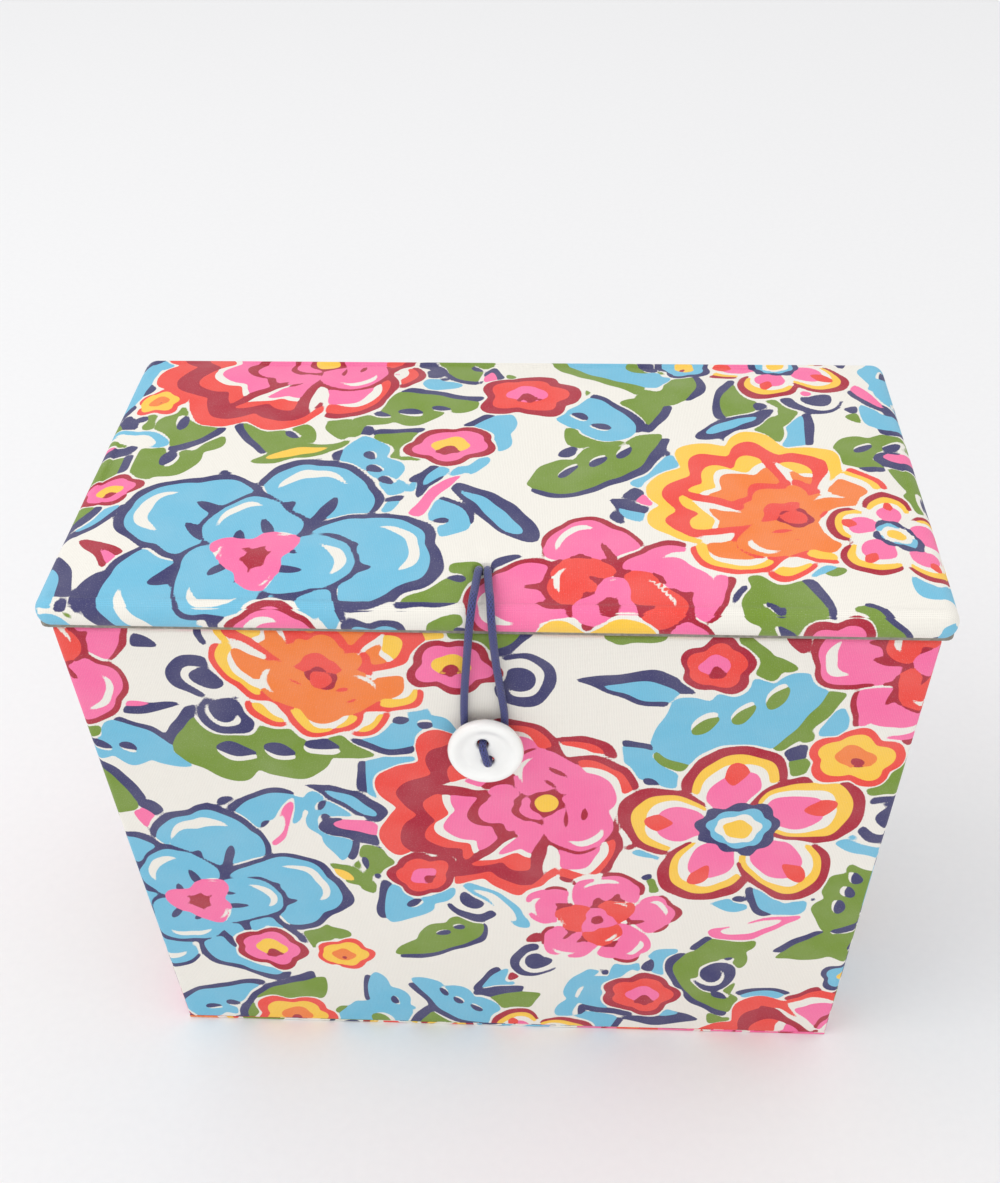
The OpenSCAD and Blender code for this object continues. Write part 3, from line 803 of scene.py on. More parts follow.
@dataclass(frozen=True)
class BraidedElastic(OneColour):
    """Round elastic cord in a braided jacket.

    Attributes:
        strands: Braid crossings round the cord.
        pitch: Length of one braid turn, in metres.
    """

    strands: int = 8
    pitch: float = 0.0030

    def build(self) -> bpy.types.Material:
        """The material: two sets of ribs that spiral opposite ways, with a painted highlight on their crests
        and painted shade between them.

        U goes round the cord once from 0 to 1 and V along it in metres; the relief is the higher of
        |sin(strands pi u + 2 pi v / pitch)| and |sin(strands pi u - 2 pi v / pitch)|.
        """
        g = Graph(self.name)
        place = g.place("UV")
        around, along, _ = g.parts(place)
        turn = around * (self.strands * math.pi)
        climb = along * (TAU / self.pitch)
        ribs = abs((turn + climb).sin()).maximum(abs((turn - climb).sin()))
        # Painted highlight and shade: the rib crests are lightened and the grooves between them darkened.
        colour = g.mix((ribs * 1.8 - 0.8).clamped(), self.tone(0.55), self.tone(1.35, 0.06))
        return g.surface(colour, 0.62 - ribs * 0.14, ribs, 0.00025, Specular_IOR_Level=0.5, Sheen_Weight=0.2)


class Resin(OneColour):
    """Polished cast resin with the faintest cloud in it."""

    def build(self) -> bpy.types.Material:
        """The material: clear gloss over a milky body, with handling marks in the roughness."""
        g = Graph(self.name)
        place = g.place("Object")
        cloud = g.noise(place, 130.0, 3.0)
        marks = g.noise(place, 900.0, 3.0)
        colour = g.mix(cloud, self.tone(0.96), self.tone(1.0))
        rough = marks * 0.14 + 0.16
        return g.surface(
            colour, rough, cloud, 0.00004, Specular_IOR_Level=0.55, Coat_Weight=0.5,
            Subsurface_Weight=0.12, Subsurface_Radius=(0.004, 0.004, 0.004),
        )


class Ribbon(OneColour):
    """Grosgrain ribbon, ribbed across its width."""

    def build(self) -> bpy.types.Material:
        """The material: ribs of 0.9 mm along V, with fine warp threads along U, a painted highlight on the
        raised threads and painted shade in the grooves.
        """
        g = Graph(self.name)
        place = g.place("UV")
        across, along, _ = g.parts(place)
        ribs = abs((along * (math.pi / 0.0009)).sin())
        warp = abs((across * (math.pi / 0.00035)).sin())
        height = ribs + warp * 0.3
        # Painted highlight and shade: the raised ribs and threads are lightened and the grooves darkened.
        colour = g.mix((height * 0.9 - 0.1).clamped(), self.tone(0.6), self.tone(1.25, 0.03))
        return g.surface(colour, 0.7 - ribs * 0.1, height, 0.0002, Specular_IOR_Level=0.4, Sheen_Weight=0.2)


# --------------------------------------------------------------------------- meshes


def smooth_noise(u: np.ndarray, v: np.ndarray, size: float, seed: float) -> np.ndarray:
    """Slow waves about -1 to 1 over a surface: five sines whose directions and phases differ.

    The k-th sine runs along the angle 2.4 k + seed with a wavelength of size / (1 + 0.37 k).
    """
    total = np.zeros(np.broadcast(u, v).shape)
    for k in range(5):
        angle, wave = 2.4 * k + seed, size / (1.0 + 0.37 * k)
        along = np.cos(angle) * u + np.sin(angle) * v
        total += np.sin(TAU * along / wave + seed * (k + 1.7)) / (1.0 + 0.4 * k)
    return total / 3.1


def grid_quads(rows: int, columns: int, wrap: bool = False) -> np.ndarray:
    """Corner numbers of the faces of a grid of points, row by row, closed round its columns if wrap."""
    i = np.arange(rows - 1)[:, None]
    j = np.arange(columns if wrap else columns - 1)[None, :]
    after = (j + 1) % columns
    row, above = i * columns, (i + 1) * columns
    quads = np.stack([row + j, row + after, above + after, above + j], -1)
    return quads.reshape(-1, 4)


@dataclass
class Patch:
    """A grid of points with its place on the cloth.

    Attributes:
        points: Rows by columns by 3, in metres. Rows run up and columns to the right, seen from outside.
        cloth: Rows by columns by 2, place on the cloth in metres.
        wrap: True where the last column joins the first.
    """

    points: np.ndarray
    cloth: np.ndarray
    wrap: bool = False


def points_of(mesh: bpy.types.Mesh) -> np.ndarray:
    """The places of a mesh's vertices, one row each, in metres."""
    flat = np.zeros(len(mesh.vertices) * 3, np.float32)
    mesh.vertices.foreach_get("co", flat)
    return flat.reshape(-1, 3)


def make_piece(
    name: str, patches: list[Patch], print_shift: tuple[float, float] | None = None
) -> bpy.types.Object:
    """Joins patches into one smooth mesh object, with a UV map in metres of cloth.

    Args:
        name: Name of the piece.
        patches: Grids, whose points are merged where they are within WELD metres of each other.
        print_shift: Where the cloth was cut from the printed repeat, in millimetres, or None for plain cloth.

    Returns:
        The object.
    """
    points = np.concatenate([p.points.reshape(-1, 3) for p in patches])
    sizes = np.array([0] + [p.points.shape[0] * p.points.shape[1] for p in patches])
    starts = np.cumsum(sizes)
    quads = np.concatenate(
        [grid_quads(*p.points.shape[:2], p.wrap) + start for p, start in zip(patches, starts)]
    )
    cloth = np.concatenate([p.cloth.reshape(-1, 2) for p in patches])[quads]
    for p, start in zip(patches, starts):
        if p.wrap:
            turn = float(p.cloth[0, -1, 0] + p.cloth[0, 1, 0] - p.cloth[0, 0, 0])
            low, high = start, start + p.points.shape[0] * p.points.shape[1]
            mine = (quads[:, 0] >= low) & (quads[:, 0] < high)
            back = mine & (cloth[:, 1, 0] < cloth[:, 0, 0])
            cloth[back, 1:3, 0] += turn
    key = np.round(points / WELD).astype(np.int64)
    _, first, index = np.unique(key, axis=0, return_index=True, return_inverse=True)
    quads = index.reshape(-1)[quads]
    points = points[first]
    following = np.roll(quads, -1, axis=1)
    good = (quads == following).sum(axis=1) <= 1
    quads, cloth = quads[good], cloth[good]
    doubled = quads == np.roll(quads, 1, axis=1)
    keep = ~doubled
    counts = keep.sum(axis=1)
    corners = quads[keep]
    mesh = bpy.data.meshes.new(name)
    mesh.vertices.add(len(points))
    mesh.vertices.foreach_set("co", points.astype(np.float32).ravel())
    mesh.loops.add(len(corners))
    mesh.loops.foreach_set("vertex_index", corners.astype(np.int32))
    mesh.polygons.add(len(counts))
    mesh.polygons.foreach_set("loop_start", np.concatenate([[0], np.cumsum(counts)[:-1]]).astype(np.int32))
    mesh.update(calc_edges=True)
    flat = cloth[keep]
    mesh.uv_layers.new(name="Cloth").data.foreach_set("uv", flat.astype(np.float32).ravel())
    if print_shift is not None:
        depths = PRINT.sample(flat[:, 0] / MM + print_shift[0], flat[:, 1] / MM + print_shift[1])
        for number, attribute in enumerate(INK_ATTRIBUTES):
            layer = mesh.attributes.new(attribute, "FLOAT_VECTOR", "CORNER")
            layer.data.foreach_set("vector", depths[3 * number : 3 * number + 3].T.astype(np.float32).ravel())
    mesh.polygons.foreach_set("use_smooth", np.ones(len(counts), bool))
    mesh.validate()
    made = bpy.data.objects.new(name, mesh)
    bpy.context.scene.collection.objects.link(made)
    return made


def dress(
    piece: bpy.types.Object, finish: bpy.types.Material, slot: str, *stands_for: str
) -> bpy.types.Object:
    """Gives a piece its finish and hides the CAD nodes that it stands for."""
    piece.data.materials.clear()
    piece.data.materials.append(finish)
    if stands_for:
        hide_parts(*stands_for)
    log.info("%s: %d faces", piece.name, len(piece.data.polygons))
    return piece


def edge_line(half: float, radius: float, pitch: float) -> np.ndarray:
    """Places from -half to half: even ones inside, and closer ones over the last radius at each end."""
    inner = max(half - radius, 0.0)
    count = max(int(math.ceil(2.0 * inner / pitch)), 1)
    turn = np.tan(np.radians(np.array([11.25, 22.5, 33.75, 45.0])))
    end = inner + radius * turn
    return np.concatenate([-end[::-1], np.linspace(-inner, inner, count + 1), end])


@dataclass
class Slab:
    """A closed board or pad between two level rectangles, with every edge rounded over.

    A point p of the box surface with half sizes h moves to q + r (p - q) / |p - q|, where q is p held
    inside h - r, which rounds the edges and corners with radius r. The box is then spread between the
    lower and the upper rectangle, so that a leaning board keeps its lean.

    Attributes:
        low: x0, x1, y0, y1 of the lower rectangle, in millimetres.
        high: x0, x1, y0, y1 of the upper rectangle.
        z: Heights of the two.
        radius: Radius of the edges.
        pitch: Spacing of the grid on the flats.
    """

    low: tuple[float, float, float, float]
    high: tuple[float, float, float, float]
    z: tuple[float, float]
    radius: float = 0.6
    pitch: float = 6.0

    def half(self) -> np.ndarray:
        """Half of its mean size along x, y and z."""
        mean = (np.array(self.low) + np.array(self.high)) / 2.0
        return np.array([mean[1] - mean[0], mean[3] - mean[2], self.z[1] - self.z[0]]) / 2.0

    def middle(self) -> tuple[float, float]:
        """Its middle along x and y, from its lower rectangle."""
        return (self.low[0] + self.low[1]) / 2.0, (self.low[2] + self.low[3]) / 2.0

    def spread(self, p: np.ndarray) -> np.ndarray:
        """Points of the centred box as points between the two rectangles."""
        share = (p / self.half() + 1.0) / 2.0
        rise = share[..., 2]
        edge = [self.low[k] * (1.0 - rise) + self.high[k] * rise for k in range(4)]
        x = edge[0] + (edge[1] - edge[0]) * share[..., 0]
        y = edge[2] + (edge[3] - edge[2]) * share[..., 1]
        return np.stack([x, y, self.z[0] + (self.z[1] - self.z[0]) * rise], -1)

    def patches(self, lines: dict[int, np.ndarray] | None = None) -> list[Patch]:
        """The six faces.

        Args:
            lines: Grid places to use along an axis, 0 to 2, in place of the even ones.

        Returns:
            One patch for each face, in metres, turned outwards.
        """
        half = self.half()
        radius = min(self.radius, *(0.98 * half))
        line = {axis: edge_line(half[axis], radius, self.pitch) for axis in range(3)}
        line.update(lines or {})
        made = []
        for out in range(3):
            right, up = (out + 1) % 3, (out + 2) % 3
            for sign in (-1.0, 1.0):
                a = line[right] * sign
                b = line[up]
                p = np.zeros((len(b), len(a), 3))
                p[..., right] = a[None, :]
                p[..., up] = b[:, None]
                p[..., out] = sign * half[out]
                q = np.clip(p, -(half - radius), half - radius)
                away = p - q
                p = q + radius * away / np.linalg.norm(away, axis=-1, keepdims=True)
                cloth = np.stack(np.broadcast_arrays(a[None, :], b[:, None]), -1)
                made.append(Patch(self.spread(p) * MM, cloth * MM))
        return made


def slab_from(points: np.ndarray, radius: float, pitch: float, trim: float = 0.0) -> Slab:
    """The slab with the corners of one CAD solid, drawn in by trim on all sides, in millimetres."""
    low_z, high_z = points[:, 2].min(), points[:, 2].max()
    rectangles = []
    for z in (low_z, high_z):
        level = points[np.abs(points[:, 2] - z) < 0.02]
        x, y = level[:, 0], level[:, 1]
        rectangles.append((x.min() + trim, x.max() - trim, y.min() + trim, y.max() - trim))
    return Slab(rectangles[0], rectangles[1], (low_z, high_z), radius, pitch)


def solids_of(node: str) -> list[np.ndarray]:
    """Corner points of each separate solid of a CAD node, in millimetres.

    Every point starts with its own label, and points that share a triangle take the lowest of their
    labels until nothing changes.
    """
    mesh = frame["nodes"][node].data
    mesh.calc_loop_triangles()
    triangles = np.zeros(len(mesh.loop_triangles) * 3, np.int32)
    mesh.loop_triangles.foreach_get("vertices", triangles)
    unique, index = np.unique(np.round(points_of(mesh) / MM, 3), axis=0, return_inverse=True)
    triangles = index.reshape(-1)[triangles].reshape(-1, 3)
    label = np.arange(len(unique))
    for _ in range(40):
        np.minimum.at(label, triangles, label[triangles].min(axis=1)[:, None].repeat(3, axis=1))
    return [unique[label == each] for each in np.unique(label)]


def covered_boards(
    name: str,
    node: str,
    radius: float,
    pitch: float,
    print_shift: tuple[float, float] | None = None,
) -> bpy.types.Object:
    """A piece with one soft-edged board for each solid of a CAD node.

    Args:
        name: Name of the piece.
        node: The CAD node whose solids it follows.
        radius: Radius of the edges, in millimetres.
        pitch: Spacing of the grid.
        print_shift: Where printed cloth was cut from the repeat, or None for plain cloth.

    Returns:
        The object.
    """
    patches = []
    for points in solids_of(node):
        patches += slab_from(points, radius, pitch).patches()
    return make_piece(name, patches, print_shift=print_shift)


def smooth_path(points: np.ndarray, step: float) -> np.ndarray:
    """Even points along a smooth line through given points.

    Between b and c the line is the Catmull-Rom cubic of the neighbours a, b, c and d; its dense points
    are then spaced out evenly by length.
    """
    ends = np.vstack([2 * points[0] - points[1], points, 2 * points[-1] - points[-2]])
    a, b, c, d = ends[:-3], ends[1:-2], ends[2:-1], ends[3:]
    t = np.linspace(0.0, 1.0, 24, endpoint=False)[None, :, None]
    a, b, c, d = (p[:, None, :] for p in (a, b, c, d))
    dense = 0.5 * (2 * b + (c - a) * t + (2 * a - 5 * b + 4 * c - d) * t**2 + (3 * b - a - 3 * c + d) * t**3)
    dense = np.vstack([dense.reshape(-1, 3), points[-1]])
    length = np.concatenate([[0.0], np.cumsum(np.linalg.norm(np.diff(dense, axis=0), axis=1))])
    even = np.linspace(0.0, length[-1], max(int(length[-1] / step), 4) + 1)
    return np.stack([np.interp(even, length, dense[:, k]) for k in range(3)], -1)


def frames_along(path: np.ndarray) -> tuple[np.ndarray, np.ndarray, np.ndarray]:
    """Direction and two side vectors at each point of a path, turned as little as possible.

    The side vector is carried from point to point by taking off its part along the new direction.
    """
    along = np.gradient(path, axis=0)
    along /= np.linalg.norm(along, axis=1, keepdims=True)
    side = np.zeros_like(along)
    previous = np.array([1.0, 0.013, 0.007])
    for k, direction in enumerate(along):
        previous = previous - direction * (previous @ direction)
        previous /= np.linalg.norm(previous)
        side[k] = previous
    return along, side, np.cross(along, side)


def tube_patch(path: np.ndarray, radius: float, sides: int) -> list[Patch]:
    """A closed round tube along a path, in metres, with domed ends.

    Ring k lies at the path's point k with the radius; at each end three rings of radius r cos a stand
    r sin a beyond it, and the last shrinks to a point.
    """
    along, side, up = frames_along(path)
    a = np.radians([30.0, 60.0, 90.0])
    beyond, shrink = np.sin(a), np.cos(a)
    shrink[-1] = 0.0
    centre = np.vstack(
        [
            path[0] - along[0] * (radius * 0.6 * beyond[::-1])[:, None],
            path,
            path[-1] + along[-1] * (radius * 0.6 * beyond)[:, None],
        ]
    )
    size = np.concatenate([shrink[::-1], np.ones(len(path)), shrink]) * radius
    pad = [(vector[:1].repeat(3, 0), vector, vector[-1:].repeat(3, 0)) for vector in (side, up)]
    side, up = np.vstack(pad[0]), np.vstack(pad[1])
    angle = np.linspace(0.0, TAU, sides, endpoint=False)
    ring = np.cos(angle)[None, :, None] * side[:, None, :] + np.sin(angle)[None, :, None] * up[:, None, :]
    points = centre[:, None, :] + ring * size[:, None, None]
    gone = np.concatenate([[0.0], np.cumsum(np.linalg.norm(np.diff(centre, axis=0), axis=1))])
    cloth = np.stack(np.broadcast_arrays((angle / TAU)[None, :], gone[:, None]), -1)
    return [Patch(points, cloth, wrap=True)]


def lathe_patch(profile: np.ndarray, sides: int) -> list[Patch]:
    """A closed turned solid about Z, in metres, from (radius, height) points that run up its outside."""
    angle = np.linspace(0.0, TAU, sides, endpoint=False)
    r, z = profile[:, 0, None], profile[:, 1, None]
    points = np.stack(np.broadcast_arrays(r * np.cos(angle), r * np.sin(angle), z), -1)
    gone = np.concatenate([[0.0], np.cumsum(np.linalg.norm(np.diff(profile, axis=0), axis=1))])
    cloth = np.stack(np.broadcast_arrays((angle / TAU)[None, :], gone[:, None]), -1)
    return [Patch(points, cloth, wrap=True)]


def place(patches: list[Patch], matrix: np.ndarray) -> list[Patch]:
    """The same patches moved by a 4 x 4 matrix."""
    return [Patch(p.points @ matrix[:3, :3].T + matrix[:3, 3], p.cloth, p.wrap) for p in patches]


def turn_x(degrees: float) -> np.ndarray:
    """The 4 x 4 matrix of a turn about X."""
    c, s = math.cos(math.radians(degrees)), math.sin(math.radians(degrees))
    return np.array([[1, 0, 0, 0], [0, c, -s, 0], [0, s, c, 0], [0, 0, 0, 1.0]])


def turn_z(degrees: float) -> np.ndarray:
    """The 4 x 4 matrix of a turn about Z."""
    c, s = math.cos(math.radians(degrees)), math.sin(math.radians(degrees))
    return np.array([[c, -s, 0, 0], [s, c, 0, 0], [0, 0, 1, 0], [0, 0, 0, 1.0]])


def shift(x: float, y: float, z: float) -> np.ndarray:
    """The 4 x 4 matrix of a move."""
    made = np.eye(4)
    made[:3, 3] = (x, y, z)
    return made


def inflate(
    piece: bpy.types.Object, still: np.ndarray, pressure: float, cap: float, shrink: float = 0.0
) -> np.ndarray:
    """Blows a closed cloth mesh up with Blender's cloth simulation.

    Args:
        piece: The mesh, in its rest shape.
        still: True for each point that stays where it is.
        pressure: Pressure inside.
        cap: The most that a point may move, in metres.
        shrink: Share by which the cloth's own length is cut, below 0 to add slack.

    Returns:
        Where the points end, one row each, and the mesh takes them.
    """
    rest = points_of(piece.data).astype(float)
    group = piece.vertex_groups.new(name="glued")
    group.add([int(k) for k in np.flatnonzero(still)], 1.0, "REPLACE")
    cloth = piece.modifiers.new("cloth", "CLOTH")
    cloth.settings.vertex_group_mass = "glued"
    cloth.settings.use_pressure = True
    cloth.settings.uniform_pressure_force = pressure
    cloth.settings.shrink_min = shrink
    cloth.settings.effector_weights.gravity = 0.0
    cloth.settings.quality = 5
    cloth.settings.bending_stiffness = 0.4
    cloth.point_cache.frame_start, cloth.point_cache.frame_end = 1, SETTLING_FRAMES
    scene = bpy.context.scene
    for number in range(1, SETTLING_FRAMES + 1):
        scene.frame_set(number)
    shaped = piece.evaluated_get(bpy.context.evaluated_depsgraph_get())
    step = points_of(shaped.data) - rest
    scene.frame_set(1)
    piece.modifiers.remove(cloth)
    piece.vertex_groups.remove(group)
    size = np.linalg.norm(step, axis=1, keepdims=True)
    final = rest + step * np.minimum(1.0, cap / np.maximum(size, 1e-9))
    piece.data.vertices.foreach_set("co", final.astype(np.float32).ravel())
    piece.data.update()
    return final


# Route of the elastic in millimetres: up from its knot, over the lid's edge, round behind the button and back
ELASTIC_ROUTE = (
    (-4.4, -60, 221.4), (-4.4, -60, 225), (-4.4, -60.2, 229), (-4.4, -61.8, 232.4),
    (-4.5, -65, 233.8), (-4.8, -70, 233.9), (-5.1, -75, 233.9), (-5.3, -78, 233.9),
    (-5.6, -81.4, 232.4), (-6, -83, 229.4), (-6.4, -83.1, 226), (-6.9, -82.9, 221),
    (-7.4, -82.1, 215.3), (-8, -81.1, 208.7), (-8.6, -80.1, 202.1), (-9.2, -79, 194.5),
    (-9.6, -78.4, 185.5), (-9.5, -77.9, 177.5), (-8.6, -77.5, 171.5), (-6.6, -77.3, 167.9),
    (-3.4, -77.2, 166.4), (0.1, -77.3, 167.7), (2.4, -77.5, 171.5), (3.5, -77.9, 177.5),
    (3.7, -78.4, 185.5), (2.9, -79, 194.5), (2.2, -80.1, 202.1), (1.6, -81.1, 208.7),
    (1.2, -82.1, 215.3), (0.9, -82.9, 221), (0.7, -83.1, 226), (0.5, -83, 229.4),
    (0.3, -81.4, 232.4), (0, -78, 233.9), (-0.4, -75, 233.9), (-0.9, -70, 233.9),
    (-1.4, -65, 233.8), (-1.6, -61.8, 232.4), (-1.6, -60.2, 229), (-1.6, -60, 225),
    (-1.6, -60, 221.4),
)


# --------------------------------------------------------------------------- the box


# Where the middle of the front was cut from the printed repeat, and how much cloth goes from the
# middle of one wall to the middle of the next, in millimetres
CUT_X, CUT_Y, NEXT_WALL = 120.0, 190.0, 213.0


class Wall(Enum):
    """The four walls: their turn about Z in degrees and where their cloth was cut, in millimetres."""

    FRONT = (0.0, (CUT_X, CUT_Y))
    RIGHT = (90.0, (CUT_X + NEXT_WALL, CUT_Y))
    BACK = (180.0, (CUT_X + 2.0 * NEXT_WALL, CUT_Y))
    LEFT = (270.0, (CUT_X - NEXT_WALL, CUT_Y))


@dataclass
class BoxBody:
    """The board box: its printed outer cover, its plain lining and the ledges that carry the trays.

    Attributes:
        corner: Radius of the cover round the upright corners, in millimetres.
        rim: Radius of the cover over each edge of the rim.
        wall: Thickness of the rim with its cover on both sides.
        turned_down: How far the cover goes down inside.
        pitch: Spacing of the grid.
        waviness: Height of the slow waves that glue and board leave.
    """

    corner: float = 1.9
    rim: float = 1.7
    wall: float = 5.0
    turned_down: float = 12.0
    pitch: float = 0.98
    waviness: float = 0.16
    cover_high: Vector = field(init=False)
    cover_low: Vector = field(init=False)
    foot: np.ndarray = field(init=False)

    def __post_init__(self) -> None:
        """Reads the outside of the box from the frame."""
        low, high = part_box("body_cover")
        self.cover_low, self.cover_high = low / MM, high / MM
        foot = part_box("base_panel")[1] / MM
        self.foot = np.array([foot.x, foot.y])

    def half_at(self, z: np.ndarray) -> tuple[np.ndarray, np.ndarray]:
        """Half width and half depth of the outside at heights z, by the lean of the walls."""
        rise = z / self.cover_high.z
        return (
            self.foot[0] + (self.cover_high.x - self.foot[0]) * rise,
            self.foot[1] + (self.cover_high.y - self.foot[1]) * rise,
        )

    def profile(self) -> tuple[np.ndarray, np.ndarray, np.ndarray]:
        """The cover's section from its bottom edge, up the wall, over the rim and down inside.

        Returns:
            Inset, height and place along the cloth of each of its points, in millimetres.
        """
        top, low, foot_r = self.cover_high.z, self.cover_low.z, 0.8
        a = np.radians(np.linspace(0.0, 90.0, 6))
        corners = [
            (np.array([2.6]), np.array([low])),
            (foot_r - foot_r * np.sin(a), low + foot_r - foot_r * np.cos(a)),
            (self.rim - self.rim * np.cos(a), top - self.rim + self.rim * np.sin(a)),
            (self.wall - self.rim + self.rim * np.sin(a), top - self.rim + self.rim * np.cos(a)),
            (np.array([self.wall, self.wall - 0.5]), top - self.turned_down + np.array([0.3, 0.0])),
        ]
        inset = np.concatenate([c[0] for c in corners])
        height = np.concatenate([c[1] for c in corners])
        gone = np.concatenate([[0.0], np.cumsum(np.hypot(np.diff(inset), np.diff(height)))])
        filled = [gone[:1]]
        for start, end in zip(gone[:-1], gone[1:]):
            filled.append(np.linspace(start, end, max(int(round((end - start) / self.pitch)), 1) + 1)[1:])
        even = np.concatenate(filled)
        return np.interp(even, gone, inset), np.interp(even, gone, height), even

    def wall_cover(self, wall: Wall) -> Patch:
        """Cover of one wall, from the middle of one rounded corner to the middle of the next.

        At each height the outline is a rectangle with corners of radius r, and half sizes L along the
        wall and D out to it, both less the inset. The cover runs straight from -(L - r) to L - r. For
        angles a up to 45 degrees it is then at L - r + r sin a along and D - r + r cos a out.
        """
        inset, height, gone = self.profile()
        half_w, half_d = self.half_at(height)
        along_half, out_half = (half_w, half_d) if wall in (Wall.FRONT, Wall.BACK) else (half_d, half_w)
        radius = np.maximum(self.corner - inset, 0.7)
        straight = along_half - inset - radius
        columns = int(2.0 * straight.max() / self.pitch)
        share = np.linspace(-1.0, 1.0, columns + 1)
        arc = np.radians(np.linspace(0.0, 45.0, 5))[1:]
        angle = np.concatenate([-arc[::-1], np.zeros(columns + 1), arc])
        share = np.concatenate([-np.ones(4), share, np.ones(4)])
        along = straight[:, None] * share + radius[:, None] * np.sin(angle)
        out = (out_half - inset - radius)[:, None] + radius[:, None] * np.cos(angle)
        cloth_u = straight[:, None] * share + radius[:, None] * angle
        outside = np.clip((1.5 - inset) / 1.5, 0.0, 1.0)[:, None]
        turn, cut = wall.value
        waves = smooth_noise(cloth_u + cut[0], height[:, None], 95.0, 1.0) * self.waviness
        waves += smooth_noise(cloth_u + cut[0], height[:, None], 21.0, 4.0) * 0.035
        calm = np.cos(angle) ** 2 * np.clip((along_half[:, None] - np.abs(along)) / 14.0, 0.0, 1.0)
        out = out + waves * outside * calm
        if wall is Wall.FRONT:
            out -= self.button_dent(along, height[:, None]) * outside
        z = np.broadcast_to(height[:, None], along.shape)
        points = np.stack([along, -out, z], -1) @ turn_z(turn)[:3, :3].T
        return Patch(points * MM, np.stack(np.broadcast_arrays(cloth_u, gone[:, None]), -1) * MM)

    def button_dent(self, x: np.ndarray, z: np.ndarray) -> np.ndarray:
        """Depth of the dent that the button's cord pulls in the front, with short creases round it."""
        centre = (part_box("button_cord")[0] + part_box("button_cord")[1]) / (2.0 * MM)
        across, up = x - centre.x, z - centre.z
        reach = np.hypot(across, up)
        creases = 0.25 * np.cos(5.0 * np.arctan2(up, across) + 0.6) * np.exp(-((reach - 13.0) ** 2) / 60.0)
        return 0.7 * np.exp(-(reach**2) / 60.0) + 0.35 * creases

    def build(self, finishes: "Finishes") -> None:
        """Builds the cover's four sides, the base, the linings and the ledges."""
        for wall in Wall:
            name = f"{wall.name.lower()}_cover"
            piece = make_piece(name, [self.wall_cover(wall)], print_shift=wall.value[1])
            dress(piece, finishes.printed, "printed_cotton", "body_cover", "rim_facing")
            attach(piece, "root")
        base = covered_boards("base_cover", "base_panel", 0.7, 1.5, print_shift=(150.0, 210.0))
        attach(dress(base, finishes.printed, "printed_cotton", "base_panel"), "root")
        for node in ("floor_lining", "front_lining", "back_lining", "left_lining", "right_lining"):
            lining = covered_boards(node + "_card", node, 0.7, 5.0)
            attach(dress(lining, finishes.plain, "plain_cotton", node), "root")
        for node in ("upper_ledges", "lower_ledges"):
            ledges = covered_boards(node + "_covered", node, 0.9, 6.0)
            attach(dress(ledges, finishes.plain, "plain_cotton", node), "root")


# --------------------------------------------------------------------------- the lid


# Cloth that going round a rolled edge saves over going out to its corner: about 2 - pi / 2 of its radius
CORNER_SAVING = 0.43


